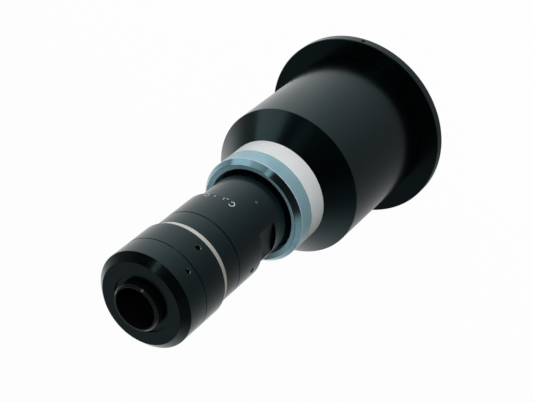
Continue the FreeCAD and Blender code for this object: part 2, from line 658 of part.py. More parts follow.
def collar():
    """Fixed ring screwed on the end of the rear tube."""
    return ring(TUBE_SEAT_D + 2 * SCREW_GAP, IRIS_RING_D, Z_IRIS_TOP, Z_COLLAR_TOP, SEAM_EDGE, 0)


def bare_ring():
    """Thin bare metal ring between the collar and the adjusting sleeve."""
    return ring(2 * CELL_SEAT_R, BARE_RING_D, Z_COLLAR_TOP, Z_BARE_TOP)


def adjusting_sleeve():
    """Sleeve locked on the rear cell by three grub screws."""
    body = ring(2 * CELL_SEAT_R, CAP_D, Z_BARE_TOP, Z_SLEEVE_TOP, SEAM_EDGE, SEAM_EDGE)
    hole_d = SLEEVE_SCREW_D + 2 * SCREW_HOLE_GAP
    hole = radial_hole(hole_d, CELL_D / 2 - CUT_PAST, CAP_D / 2 + CUT_PAST, Z_SLEEVE_SCREW)
    return body.cut(repeat(hole, SCREWS_ROUND, SLEEVE_SCREW_AZ))


def sleeve_grub_screws():
    """Three screws of the adjusting sleeve."""
    screw = grub_screw(SLEEVE_SCREW_D, SLEEVE_SCREW_L, CELL_D / 2, Z_SLEEVE_SCREW)
    return Part.makeCompound(repeat(screw, SCREWS_ROUND, SLEEVE_SCREW_AZ))


def rear_cap():
    """Cap with its wide bevel and the recess of the mount nose."""
    outer = CAP_D / 2
    seat = CELL_SEAT_R
    spigot = NOSE_SPIGOT_D / 2 + SCREW_GAP
    recess = NOSE_FLANGE_D / 2 + SCREW_GAP
    z_plate = Z_CAP_TOP - CAP_FACE_T
    z_recess = Z_CAP_TOP - NOSE_RECESS - NOSE_FLANGE_T
    body = turned([
        (seat, Z_SLEEVE_TOP), (outer - SEAM_EDGE, Z_SLEEVE_TOP), (outer, Z_SLEEVE_TOP + SEAM_EDGE),
        (outer, Z_CAP_TOP - CAP_BEVEL), (outer - CAP_BEVEL, Z_CAP_TOP), (recess, Z_CAP_TOP),
        (recess, z_recess), (spigot, z_recess), (spigot, z_plate), (seat, z_plate),
    ])
    hole_d = CAP_SCREW_D + 2 * SCREW_HOLE_GAP
    hole = radial_hole(hole_d, CELL_D / 2 - CUT_PAST, CAP_D / 2 + CUT_PAST, Z_CAP_SCREW)
    return body.cut(repeat(hole, SCREWS_ROUND, CAP_SCREW_AZ))


def cap_grub_screws():
    """Three screws of the rear cap."""
    screw = grub_screw(CAP_SCREW_D, CAP_SCREW_L, CELL_D / 2, Z_CAP_SCREW)
    return Part.makeCompound(repeat(screw, SCREWS_ROUND, CAP_SCREW_AZ))


def mount_nose():
    """Screwed-in nose with the outside of the camera-mount thread."""
    bore = NOSE_BORE_D / 2
    outer = NOSE_D / 2
    relief = NOSE_RELIEF_D / 2
    spigot = NOSE_SPIGOT_D / 2
    flange = NOSE_FLANGE_D / 2
    z_step = Z_CAP_TOP - NOSE_RECESS
    return turned([
        (bore, Z_CAP_TOP - CAP_FACE_T), (spigot, Z_CAP_TOP - CAP_FACE_T),
        (spigot, z_step - NOSE_FLANGE_T), (flange, z_step - NOSE_FLANGE_T), (flange, z_step),
        (relief, z_step), (relief, z_step + NOSE_RELIEF_W), (outer, z_step + NOSE_RELIEF_W),
        (outer, Z_NOSE_TOP - NOSE_EDGE), (outer - NOSE_EDGE, Z_NOSE_TOP), (bore, Z_NOSE_TOP),
    ])


def rear_cell():
    """Inner tube that holds the rear elements and carries sleeve and cap."""
    outer = CELL_D / 2
    bore = CELL_BORE_D / 2
    mouth = CELL_MOUTH_D / 2
    ledge = Z_CELL_BASE + CELL_LEDGE_T
    return turned([
        (mouth, Z_CELL_BASE), (outer, Z_CELL_BASE), (outer, Z_CELL_TOP), (bore, Z_CELL_TOP),
        (bore, ledge), (mouth, ledge),
    ])


def rear_stack():
    """Heights of the rear elements, stacked rim to rim on the cell's ledge."""
    rim = REAR_LENS_D / 2
    ledge = Z_CELL_BASE + CELL_LEDGE_T
    flint_low = ledge - sag(-REAR_FLINT_R, rim)
    crown_low = flint_low + REAR_FLINT_T
    crown_top_z = crown_low + centre_thickness(REAR_LENS_D, REAR_CROWN_RIM_T, REAR_CEMENT_R, REAR_CROWN_R)
    spacer_r = REAR_SPACER_BORE_D / 2
    spacer_1 = crown_top_z + sag(-REAR_CROWN_R, spacer_r)
    middle_low = spacer_1 + REAR_SPACER_L - sag(MIDDLE_LENS_R, spacer_r)
    middle_t = centre_thickness(REAR_LENS_D, MIDDLE_LENS_RIM_T, MIDDLE_LENS_R, MIDDLE_LENS_R)
    middle_top = middle_low + middle_t
    spacer_2 = middle_top + sag(-MIDDLE_LENS_R, spacer_r)
    last_low = spacer_2 + REAR_SPACER_L - sag(LAST_LENS_LOW_R, spacer_r)
    last_top = last_low + LAST_LENS_T
    last_rim = last_top + sag(LAST_LENS_HIGH_R, rim)
    return {
        "flint_low": flint_low, "crown_low": crown_low, "crown_top": crown_top_z, "spacer_1": spacer_1,
        "middle_low": middle_low, "middle_top": middle_top, "spacer_2": spacer_2,
        "last_low": last_low, "last_top": last_top, "last_rim": last_rim,
    }


def rear_flint():
    """First rear element, cemented to the crown above it."""
    z = rear_stack()
    return lens(REAR_LENS_D, z["flint_low"], -REAR_FLINT_R, z["crown_low"], REAR_CEMENT_R)


def rear_crown():
    """Second rear element."""
    z = rear_stack()
    return lens(REAR_LENS_D, z["crown_low"], REAR_CEMENT_R, z["crown_top"], -REAR_CROWN_R)


def rear_middle_lens():
    """Biconvex element between the two spacers."""
    z = rear_stack()
    return lens(REAR_LENS_D, z["middle_low"], MIDDLE_LENS_R, z["middle_top"], -MIDDLE_LENS_R)


def rear_last_lens():
    """Meniscus element next to the camera."""
    z = rear_stack()
    return lens(REAR_LENS_D, z["last_low"], LAST_LENS_LOW_R, z["last_top"], LAST_LENS_HIGH_R)


def rear_spacer(z_low):
    """Plain spacer tube between two elements, touching them at its bore."""
    return ring(REAR_SPACER_BORE_D, REAR_LENS_D, z_low, z_low + REAR_SPACER_L)


def rear_retaining_ring():
    """Screwed ring on the last element, with spanner slots."""
    low = rear_stack()["last_rim"]
    top = low + REAR_RETAINER_T
    body = ring(REAR_SPACER_BORE_D, REAR_LENS_D, low, top)
    slots = spanner_slots(REAR_SLOT_W, REAR_SPACER_BORE_D / 2 - CUT_PAST, REAR_LENS_D / 2 + CUT_PAST,
                          top - SPANNER_SLOT_DEEP, top + CUT_PAST)
    return body.cut(slots)


def all_pieces():
    """Every piece of the lens by the name of its node."""
    pieces = {
        "mounting_flange": mounting_flange(),
        "flange_grub_screws": flange_grub_screws(),
        "objective_barrel": objective_barrel(),
        "objective_retaining_ring": objective_retaining_ring(),
        "objective_crown_lens": objective_crown(),
        "objective_flint_lens": objective_flint(),
        "barrel_baffle": barrel_baffle(),
        "silver_ring": silver_ring(),
        "blue_ring": blue_ring(),
        "rear_tube": rear_tube(),
        "field_lens": field_lens(),
        "field_lens_retainer": field_lens_retainer(),
        "iris_base_plate": iris_base_plate(),
        "iris_cam_ring": iris_cam_ring(),
        "iris_retaining_ring": iris_retaining_ring(),
        "iris_control_ring": iris_control_ring(),
        "iris_drive_pin": iris_drive_pin(),
        "collar": collar(),
        "bare_ring": bare_ring(),
        "adjusting_sleeve": adjusting_sleeve(),
        "sleeve_grub_screws": sleeve_grub_screws(),
        "rear_cap": rear_cap(),
        "cap_grub_screws": cap_grub_screws(),
        "mount_nose": mount_nose(),
        "rear_cell": rear_cell(),
        "rear_flint_lens": rear_flint(),
        "rear_crown_lens": rear_crown(),
        "rear_spacer_low": rear_spacer(rear_stack()["spacer_1"]),
        "rear_middle_lens": rear_middle_lens(),
        "rear_spacer_top": rear_spacer(rear_stack()["spacer_2"]),
        "rear_last_lens": rear_last_lens(),
        "rear_retaining_ring": rear_retaining_ring(),
    }
    for number in range(BLADES):
        pieces[f"iris_blade_{number + 1}"] = iris_blade(number)
    return pieces


def main():
    """Write one file for each piece."""
    os.makedirs("parts", exist_ok=True)
    for name, shape in all_pieces().items():
        shape.exportStep(f"parts/{name}.step")
        print(name, "valid" if shape.isValid() else "NOT VALID", len(shape.Solids), round(shape.Volume, 2))


if __name__ == "__main__":
    main()
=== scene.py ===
"""Looks of a bi-telecentric machine-vision lens, dressed over its fixed frame of solids.

The optical axis is Z. The lens stands on the face of its mounting flange at Z = 0, with the large
objective at the bottom and the camera nose at the top. Sizes in the classes are in millimetres, and
every mesh is made in metres where the piece lies. Azimuths are in degrees about Z, from +X to +Y.
"""
import logging
import math
from dataclasses import dataclass
from enum import Enum
from typing import Callable, Sequence

import bmesh
import bpy
from mathutils import Matrix, Vector


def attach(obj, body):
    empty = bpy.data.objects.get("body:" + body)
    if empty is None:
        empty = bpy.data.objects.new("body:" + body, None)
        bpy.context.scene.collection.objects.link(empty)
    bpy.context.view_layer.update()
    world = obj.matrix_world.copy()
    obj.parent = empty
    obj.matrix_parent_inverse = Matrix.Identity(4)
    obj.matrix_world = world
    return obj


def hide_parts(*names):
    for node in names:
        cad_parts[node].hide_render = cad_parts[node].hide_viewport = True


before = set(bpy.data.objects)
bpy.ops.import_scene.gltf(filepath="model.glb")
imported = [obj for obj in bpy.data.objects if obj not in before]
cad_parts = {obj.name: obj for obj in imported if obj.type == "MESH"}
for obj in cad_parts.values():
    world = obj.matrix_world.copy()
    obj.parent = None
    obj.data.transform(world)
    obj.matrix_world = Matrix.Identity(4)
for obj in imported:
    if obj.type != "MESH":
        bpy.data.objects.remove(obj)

MM = 0.001
STEPS = 192
FULL_TURN = 2 * math.pi

Colour = tuple[float, float, float]
Place = tuple[float, float, float]
Outline = Sequence[tuple[float, float]]
FaceTest = Callable[[Vector], bool]
Socket = bpy.types.NodeSocket
Form = bmesh.types.BMesh

log = logging.getLogger("lens")


class Body(Enum):
    """Moving groups of the lens that a piece can ride on."""

    LENS = "lens_body"
    IRIS = "iris_ring"


class Slot(Enum):
    """Finishes named in the record."""

    BLACK = "black_anodised"
    BLUE = "blue_anodised"
    BARE = "bare_aluminium"
    GLASS = "lens_glass"
    STEEL = "black_steel"


class Shading(Enum):
    """How a finished mesh gets its normals."""

    TURNED = "turned"
    CURVED = "curved"
    FLAT = "flat"


class Graph:
    """Adds and joins nodes in one node tree."""

    def __init__(self, tree: bpy.types.NodeTree) -> None:
        """Keeps the tree that the nodes go into."""
        self.tree = tree

    def node(self, kind: str, **settings: object) -> bpy.types.Node:
        """Adds a node of a kind, with settings for its own properties."""
        made = self.tree.nodes.new(kind)
        for name, value in settings.items():
            setattr(made, name, value)
        return made

    def fill(self, node: bpy.types.Node, values: dict[str, object]) -> None:
        """Sets fixed values of a node's inputs."""
        for name, value in values.items():
            node.inputs[name].default_value = value

    def join(self, output: Socket, entry: Socket) -> None:
        """Joins an output to an input."""
        self.tree.links.new(output, entry)

    def sum(self, kind: str, first: object, second: object = None, third: object = None,
            clamp: bool = False) -> Socket:
        """Adds a Math node.

        Args:
            kind: Operation, such as MULTIPLY.
            first: Number or output for the first input.
            second: The same for the second input, where the operation has one.
            third: The same for the third input.
            clamp: Whether the result is held between 0 and 1.

        Returns:
            The node's output.
        """
        made = self.node("ShaderNodeMath", operation=kind, use_clamp=clamp)
        for number, value in enumerate((first, second, third)):
            if isinstance(value, Socket):
                self.join(value, made.inputs[number])
            elif value is not None:
                made.inputs[number].default_value = value
        return made.outputs[0]

    def spread(self, value: Socket, low: float, high: float, to_low: float,
               to_high: float, smooth: bool = False) -> Socket:
        """Maps a value from one range to another.

        Args:
            value: Output that is mapped.
            low: Start of its range.
            high: End of its range.
            to_low: Result at the start.
            to_high: Result at the end.
            smooth: Whether the change eases in and out.

        Returns:
            The mapped output, held within the two results.
        """
        made = self.node("ShaderNodeMapRange", interpolation_type="SMOOTHSTEP" if smooth else "LINEAR")
        self.join(value, made.inputs["Value"])
        self.fill(made, {"From Min": low, "From Max": high, "To Min": to_low, "To Max": to_high})
        return made.outputs["Result"]

    def axes(self, vector: Socket) -> bpy.types.NodeOutputs:
        """Splits a vector into its X, Y and Z outputs."""
        made = self.node("ShaderNodeSeparateXYZ")
        self.join(vector, made.inputs[0])
        return made.outputs

    def along(self, vector: Socket, way: Place) -> Socket:
        """Measures a vector along a fixed direction."""
        made = self.node("ShaderNodeVectorMath", operation="DOT_PRODUCT")
        made.inputs[1].default_value = way
        self.join(vector, made.inputs[0])
        return made.outputs["Value"]

    def blend(self, share: Socket, first: Colour, second: Colour) -> Socket:
        """Mixes two colours by a share.

        Args:
            share: Output from 0 to 1.
            first: Colour at 0.
            second: Colour at 1.

        Returns:
            The mixed colour.
        """
        made = self.node("ShaderNodeMix", data_type="RGBA")
        self.join(share, made.inputs["Factor"])
        made.inputs[6].default_value = (*first, 1)
        made.inputs[7].default_value = (*second, 1)
        return made.outputs[2]


def turned_lines_group() -> bpy.types.NodeTree:
    """Builds the pattern that a lathe tool leaves, which runs round the axis on any turned face.

    Returns:
        A node group with a height of the lines and a broad, faint shade of the surface.
    """
    group = bpy.data.node_groups.new("turned_lines", "ShaderNodeTree")
    face = group.interface
    face.new_socket("Vector", in_out="INPUT", socket_type="NodeSocketVector")
    pitch = face.new_socket("Lines per mm", in_out="INPUT", socket_type="NodeSocketFloat")
    pitch.default_value = 3.0
    face.new_socket("Height", in_out="OUTPUT", socket_type="NodeSocketFloat")
    face.new_socket("Shade", in_out="OUTPUT", socket_type="NodeSocketFloat")
    graph = Graph(group)
    entry = graph.node("NodeGroupInput")
    leave = graph.node("NodeGroupOutput")
    axes = graph.axes(entry.outputs["Vector"])
    squares = graph.sum("ADD", graph.sum("POWER", axes["X"], 2.0), graph.sum("POWER", axes["Y"], 2.0))
    radius = graph.sum("SQRT", squares)
    run = graph.sum("SUBTRACT", axes["Z"], graph.sum("MULTIPLY", radius, 1.37))
    run_mm = graph.sum("MULTIPLY", run, 1 / MM)
    fine = graph.node("ShaderNodeTexNoise", noise_dimensions="1D")
    graph.fill(fine, {"Scale": 1.0, "Detail": 2.0, "Roughness": 0.6})
    graph.join(graph.sum("MULTIPLY", run_mm, entry.outputs["Lines per mm"]), fine.inputs["W"])
    graph.join(fine.outputs["Fac"], leave.inputs["Height"])
    broad = graph.node("ShaderNodeTexNoise", noise_dimensions="3D")
    graph.fill(broad, {"Scale": 55.0, "Detail": 3.0})
    graph.join(entry.outputs["Vector"], broad.inputs["Vector"])
    faint = graph.sum("MULTIPLY", fine.outputs["Fac"], 0.45)
    graph.join(graph.sum("MULTIPLY_ADD", broad.outputs["Fac"], 0.55, faint), leave.inputs["Shade"])
    return group


TURNED_LINES = turned_lines_group()


@dataclass(frozen=True)
class Finish:
    """A finish, which makes its material once."""

    name: str

    def material(self) -> bpy.types.Material:
        """Builds the material, or returns it if it is there already."""
        made = bpy.data.materials.get(self.name)
        if not made:
            made = bpy.data.materials.new(self.name)
            made.use_nodes = True
            graph = Graph(made.node_tree)
            place = graph.node("ShaderNodeTexCoord")
            self.dress(graph, place.outputs["Object"], made.node_tree.nodes["Principled BSDF"])
        return made

    def dress(self, graph: Graph, place: Socket, shader: bpy.types.Node) -> None:
        """Adds the finish's own nodes and values to the shader."""


@dataclass(frozen=True)
class Metal(Finish):
    """A turned and treated metal finish.

    The two colours are the surface's darker and lighter places, and the lines are the lathe tool's.
    """

    dark: Colour
    light: Colour
    metallic: float = 0.0
    roughness: float = 0.3
    roughness_sway: float = 0.06
    lines_per_mm: float = 3.0
    line_depth_mm: float = 0.002
    anisotropic: float = 0.0
    specular: float = 0.5
    tint: Colour = (1.0, 1.0, 1.0)

    def dress(self, graph: Graph, place: Socket, shader: bpy.types.Node) -> None:
        """Adds the tool lines, the two shades and the values of the metal."""
        lines = graph.node("ShaderNodeGroup")
        lines.node_tree = TURNED_LINES
        graph.fill(lines, {"Lines per mm": self.lines_per_mm})
        graph.join(place, lines.inputs["Vector"])
        share = graph.spread(lines.outputs["Shade"], 0.3, 0.7, 0.0, 1.0)
        graph.join(graph.blend(share, self.dark, self.light), shader.inputs["Base Color"])
        low = self.roughness - self.roughness_sway / 2
        high = self.roughness + self.roughness_sway / 2
        graph.join(graph.spread(lines.outputs["Shade"], 0.3, 0.7, high, low), shader.inputs["Roughness"])
        bump = graph.node("ShaderNodeBump")
        graph.fill(bump, {"Strength": 1.0, "Distance": self.line_depth_mm * MM})
        graph.join(lines.outputs["Height"], bump.inputs["Height"])
        graph.join(bump.outputs["Normal"], shader.inputs["Normal"])
        graph.fill(shader, {
            "Metallic": self.metallic, "IOR": 1.5, "Specular IOR Level": self.specular,
            "Specular Tint": (*self.tint, 1), "Anisotropic": self.anisotropic, "Anisotropic Rotation": 0.25,
        })


@dataclass(frozen=True)
class CoatedGlass(Finish):
    """Polished optical glass with a thin coating that colours what it reflects."""

    colour: Colour
    ior: float
    film_nm: float = 130.0

    def dress(self, graph: Graph, place: Socket, shader: bpy.types.Node) -> None:
        """Adds a trace of haze and the values of the glass and its film."""
        haze = graph.node("ShaderNodeTexNoise", noise_dimensions="3D")
        graph.fill(haze, {"Scale": 90.0})
        graph.join(place, haze.inputs["Vector"])
        graph.join(graph.spread(haze.outputs["Fac"], 0.45, 0.75, 0.0, 0.02), shader.inputs["Roughness"])
        graph.fill(shader, {"Base Color": (*self.colour, 1), "Transmission Weight": 1.0, "IOR": self.ior,
                            "Thin Film Thickness": self.film_nm, "Thin Film IOR": 1.38})


BLACK = Metal("black_anodised_satin", (0.0003, 0.0008, 0.0009), (0.0008, 0.0015, 0.0017), roughness=0.22,
              roughness_sway=0.04, lines_per_mm=2.6, line_depth_mm=0.0010, tint=(0.52, 0.94, 1.0))
BEVEL_BLACK = Metal("black_anodised_glossy", (0.0003, 0.0006, 0.0007), (0.0007, 0.0010, 0.0012),
                    roughness=0.23, roughness_sway=0.03, lines_per_mm=3.4, line_depth_mm=0.0008,
                    anisotropic=0.2, tint=(0.60, 0.95, 1.0))
# Bright metal on the widened edges of the screw holes: a painted highlight that stands for the lit crescent
# at each hole's edge.
HOLE_RIM_HIGHLIGHT = Metal("black_hole_rim_painted_highlight", (0.14, 0.15, 0.15), (0.20, 0.21, 0.21), metallic=0.9, roughness=0.26,
                    line_depth_mm=0.001)
# Bright metal on the nose's outer chamfer: a painted highlight, so that the chamfer shows a glint.
NOSE_SLOPE_HIGHLIGHT = Metal("black_nose_slope_painted_highlight", (0.045, 0.049, 0.050), (0.075, 0.080, 0.082), metallic=0.9,
                    roughness=0.13, roughness_sway=0.04, line_depth_mm=0.001)
# Lighter black on the rim of the nose's bore: a painted highlight line.
NOSE_RIM_HIGHLIGHT = Metal("black_nose_rim_painted_highlight", (0.022, 0.027, 0.029), (0.035, 0.041, 0.043), roughness=0.40,
                   roughness_sway=0.05, line_depth_mm=0.001)
FLAT_BLACK = Metal("black_milled_flat", (0.0010, 0.0013, 0.0014), (0.0020, 0.0024, 0.0026), roughness=0.45,
                   lines_per_mm=2.0, specular=0.3, tint=(0.3, 0.92, 1.0))
BORE_BLACK = Metal("matt_black_bore", (0.0010, 0.0012, 0.0013), (0.0018, 0.0020, 0.0022), roughness=0.75,
                   roughness_sway=0.05, lines_per_mm=1.6, line_depth_mm=0.05, specular=0.12)
BLUE = Metal("pale_blue_anodised", (0.22, 0.40, 0.475), (0.37, 0.60, 0.68), metallic=0.45, roughness=0.30,
             roughness_sway=0.10, lines_per_mm=1.9, line_depth_mm=0.012, anisotropic=0.4)
BLUE_CUT = Metal("pale_blue_cut_bevel", (0.15, 0.30, 0.36), (0.28, 0.45, 0.52), metallic=1.0, roughness=0.18,
                 roughness_sway=0.08, lines_per_mm=2.2, line_depth_mm=0.006, anisotropic=0.4)
BLUE_DISH = Metal("pale_blue_dish", (0.25, 0.43, 0.50), (0.32, 0.51, 0.58), metallic=0.15, roughness=0.5,
                  roughness_sway=0.08, lines_per_mm=2.2, line_depth_mm=0.008)
# Near-white blue on the ring's sharp edges: painted highlight lines.
BLUE_EDGE_HIGHLIGHT = Metal("pale_blue_painted_edge_highlight", (0.62, 0.76, 0.80), (0.74, 0.86, 0.90), metallic=0.3, roughness=0.5,
                  lines_per_mm=4.0, line_depth_mm=0.001)
SILVER = Metal("bare_aluminium_satin", (0.72, 0.76, 0.76), (0.93, 0.97, 0.97), metallic=0.15, roughness=0.5,
               roughness_sway=0.10, lines_per_mm=1.8, line_depth_mm=0.014, anisotropic=0.6)
IVORY = Metal("bare_aluminium_turned", (0.54, 0.54, 0.50), (0.72, 0.72, 0.66), metallic=0.65, roughness=0.30,
              roughness_sway=0.1, line_depth_mm=0.010, anisotropic=0.4)
STEEL = Metal("blackened_steel", (0.012, 0.013, 0.014), (0.020, 0.021, 0.023), metallic=0.6, roughness=0.38,
              roughness_sway=0.1, lines_per_mm=5.0, line_depth_mm=0.001)
PAINT = Metal("white_marking_paint", (0.74, 0.76, 0.75), (0.86, 0.88, 0.87), roughness=0.6,
              roughness_sway=0.1, lines_per_mm=6.0)
INDEX_PAINT = Metal("pale_green_index_paint", (0.055, 0.095, 0.09), (0.075, 0.12, 0.11), roughness=0.6,
                    roughness_sway=0.1, lines_per_mm=6.0)
CROWN_GLASS = CoatedGlass("coated_crown_glass", (0.96, 0.99, 0.98), 1.52)
FLINT_GLASS = CoatedGlass("coated_flint_glass", (0.97, 0.98, 0.95), 1.62, 120.0)


def turned(outline: Outline, edge: float = 0.06, steps: int = STEPS) -> Form:
    """Turns a closed outline about the optical axis and breaks its sharp round edges.

    Args:
        outline: Points of radius and height in millimetres. The last joins the first, or, where both
            lie on the axis, the axis closes the form.
        edge: Width of the broken edges in millimetres.
        steps: Steps of the full turn.

    Returns:
        The turned form in metres, with its faces outwards.
    """
    form = bmesh.new()
    points = [form.verts.new((radius * MM, 0, z * MM)) for radius, z in outline]
    open_on_axis = outline[0][0] == 0 and outline[-1][0] == 0
    pairs = list(zip(points, points[1:])) + ([] if open_on_axis else [(points[-1], points[0])])
    edges = [form.edges.new(pair) for pair in pairs]
    bmesh.ops.spin(form, geom=points + edges, cent=(0, 0, 0), axis=(0, 0, 1), dvec=(0, 0, 0),
                   angle=FULL_TURN, steps=steps, use_merge=True, use_duplicate=False)
    bmesh.ops.remove_doubles(form, verts=form.verts[:], dist=1e-7)
    bmesh.ops.recalc_face_normals(form, faces=form.faces[:])
    if edge:
        sharp = [e for e in form.edges if len(e.link_faces) == 2 and e.calc_face_angle(0) > math.radians(18)]
        bmesh.ops.bevel(form, geom=sharp, offset=edge * MM, offset_type="OFFSET", segments=2, profile=0.5,
                        affect="EDGES", clamp_overlap=True, material=-1)
    return form


def ring(bore: float, outer: float, low: float, top: float, edge: float, low_seam: float = 0.0,
         top_seam: float = 0.0) -> Form:
    """Turns a plain ring, with a chamfer at the seam with a neighbour where it has one.

    Args:
        bore: Radius of its bore in millimetres.
        outer: Its outer radius.
        low: Height of its lower face.
        top: Height of its upper face.
        edge: Width of its broken edges.
        low_seam: Chamfer of the lower outer edge.
        top_seam: Chamfer of the upper outer edge.

    Returns:
        The turned form in metres.
    """
    lower = [(outer - low_seam, low), (outer, low + low_seam)] if low_seam else [(outer, low)]
    upper = [(outer, top - top_seam), (outer - top_seam, top)] if top_seam else [(outer, top)]
    return turned([(bore, low), *lower, *upper, (bore, top)], edge)


def radial_tool(diameter: float, r_from: float, r_to: float, z: float, azimuth: float,
                flare: float = 0.15) -> Form:
    """Makes the form of a drilled radial hole, widened a little where it meets the surface.

    Args:
        diameter: Diameter of the hole.
        r_from: Radius at which it starts.
        r_to: Radius of the surface that it comes out of.
        z: Height of its centre.
        azimuth: Its direction.
        flare: Width of the widened edge.

    Returns:
        The form to cut away.
    """
    r = diameter / 2
    over = 0.6
    tool = turned([(0, r_from), (r, r_from), (r, r_to - flare), (r + flare, r_to),
                   (r + flare + over, r_to + over), (0, r_to + over)], 0, 40)
    swing = Matrix.Rotation(math.radians(azimuth), 4, "Z")
    tip = Matrix.Rotation(math.radians(90), 4, "Y")
    bmesh.ops.transform(tool, matrix=Matrix.Translation((0, 0, z * MM)) @ swing @ tip, verts=tool.verts[:])
    return tool


def swept_tool(corners: Outline, start: float, sweep: float, steps: int, climb: float = 0.0) -> Form:
    """Makes a form to cut away by sweeping a flat section about the axis.

    Args:
        corners: Radius and height of the section's corners in millimetres.
        start: Azimuth at which the sweep starts.
        sweep: Its angle in degrees.
        steps: Steps of the sweep.
        climb: How far it climbs in all, in millimetres.

    Returns:
        The swept form in metres.
    """
    tool = bmesh.new()
    section = tool.faces.new([tool.verts.new((r * MM, 0, z * MM)) for r, z in corners])
    bmesh.ops.spin(tool, geom=[section], cent=(0, 0, 0), axis=(0, 0, 1), dvec=(0, 0, climb * MM / steps),
                   angle=math.radians(sweep), steps=steps, use_merge=False, use_duplicate=False)
    bmesh.ops.remove_doubles(tool, verts=tool.verts[:], dist=1e-7)
    bmesh.ops.recalc_face_normals(tool, faces=tool.faces[:])
    bmesh.ops.rotate(tool, cent=(0, 0, 0), matrix=Matrix.Rotation(math.radians(start), 3, "Z"),
                     verts=tool.verts[:])
    return tool


def block_tool(size: Place, centre: Place, azimuth: float) -> Form:
    """Makes a rectangular form to cut away, turned about the axis by an azimuth."""
    tool = bmesh.new()
    bmesh.ops.create_cube(tool, size=1.0)
    scale = Matrix.Diagonal((*(s * MM for s in size), 1))
    swing = Matrix.Rotation(math.radians(azimuth), 4, "Z")
    shift = Matrix.Translation(Vector(centre) * MM)
    bmesh.ops.transform(tool, matrix=swing @ shift @ scale, verts=tool.verts[:])
    return tool


def mesh_of(name: str, form: Form) -> bpy.types.Mesh:
    """Makes a form a mesh, and uses the form up."""
    mesh = bpy.data.meshes.new(name)
    form.to_mesh(mesh)
    form.free()
    return mesh


def placed(name: str, data: bpy.types.ID) -> bpy.types.Object:
    """Makes an object of a mesh, lamp or camera and puts it in the scene."""
    made = bpy.data.objects.new(name, data)
    bpy.context.scene.collection.objects.link(made)
    return made


def carve(form: Form, tools: Sequence[Form]) -> Form:
    """Cuts tools out of a form.

    Args:
        form: The form that is cut. It is used up.
        tools: The closed forms that are taken away. They are used up.

    Returns:
        The form that is left.
    """
    together = bmesh.new()
    for tool in tools:
        loose = mesh_of("tool", tool)
        together.from_mesh(loose)
        bpy.data.meshes.remove(loose)
    blank = placed("blank", mesh_of("blank", form))
    cutter = placed("cutter", mesh_of("cutter", together))
    cut = blank.modifiers.new("cut", "BOOLEAN")
    cut.operation = "DIFFERENCE"
    cut.solver = "EXACT"
    cut.object = cutter
    left = bpy.data.meshes.new_from_object(blank.evaluated_get(bpy.context.evaluated_depsgraph_get()))
    result = bmesh.new()
    result.from_mesh(left)
    meshes = [blank.data, cutter.data, left]
    for used in (blank, cutter):
        bpy.data.objects.remove(used)
    for mesh in meshes:
        bpy.data.meshes.remove(mesh)
    return result


def turned_normals(mesh: bpy.types.Mesh, steps: int = STEPS) -> list[Place]:
    """Works out the true normals of a turned surface at the corners of its narrow faces.

    Args:
        mesh: The finished mesh.
        steps: Steps of the full turn that it was made with.

    Returns:
        One normal for each corner: round the axis on turned faces, and the face's own elsewhere.
    """
    reach = 0.8 * FULL_TURN / steps
    normals = []
    for polygon in mesh.polygons:
        normal = polygon.normal
        lean = math.hypot(normal.x, normal.y)
        side = 1.0 if normal.x * polygon.center.x + normal.y * polygon.center.y >= 0 else -1.0
        azimuth = math.atan2(side * normal.y, side * normal.x)
        corners = []
        for number in polygon.vertices:
            point = mesh.vertices[number].co
            angle = math.atan2(point.y, point.x)
            swing = (angle - azimuth + math.pi) % FULL_TURN - math.pi
            if lean < 1e-4 or abs(swing) > reach:
                corners = [tuple(normal)] * len(polygon.vertices)
                break
            corners.append((side * lean * math.cos(angle), side * lean * math.sin(angle), normal.z))
        normals.extend(corners)
    return normals


def piece(name: str, form: Form, finish: Finish, body: Body = Body.LENS,
          ending: str = "turned", shading: Shading = Shading.TURNED,
          others: Sequence[tuple[FaceTest, Metal]] = ()) -> None:
    """Makes a form a finished piece of the lens.

    Args:
        name: Name of the solid that it replaces, or its own where there is no ending.
        form: Its mesh in metres. It is used up.
        finish: Its finish.
        body: Moving group that it rides on.
        ending: What its own name adds to the solid's. With none it replaces no solid.
        shading: How it gets its normals.
        others: Tests on the middle of a face, each with the finish of the faces that pass it.
    """
    own = f"{name}_{ending}" if ending else name
    mesh = mesh_of(own, form)
    mesh.materials.append(finish.material())
    for number, (test, other) in enumerate(others, 1):
        mesh.materials.append(other.material())
        for polygon in mesh.polygons:
            if test(polygon.center):
                polygon.material_index = number
    if shading is not Shading.FLAT:
        mesh.shade_smooth()
    if shading is Shading.TURNED:
        mesh.normals_split_custom_set(turned_normals(mesh))
    elif shading is Shading.CURVED:
        mesh.set_sharp_from_angle(angle=math.radians(28))
    made = placed(own, mesh)
    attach(made, body.value)
    if ending:
        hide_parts(name)
    log.info("%s: %d faces on %s", own, len(mesh.polygons), body.value)


def near_edge(radius: float, z: float, reach: float) -> FaceTest:
    """Makes a test for faces whose middle lies within reach of a round edge, in millimetres."""
    return lambda middle: math.hypot(math.hypot(middle.x, middle.y) - radius * MM,
                                     middle.z - z * MM) < reach * MM


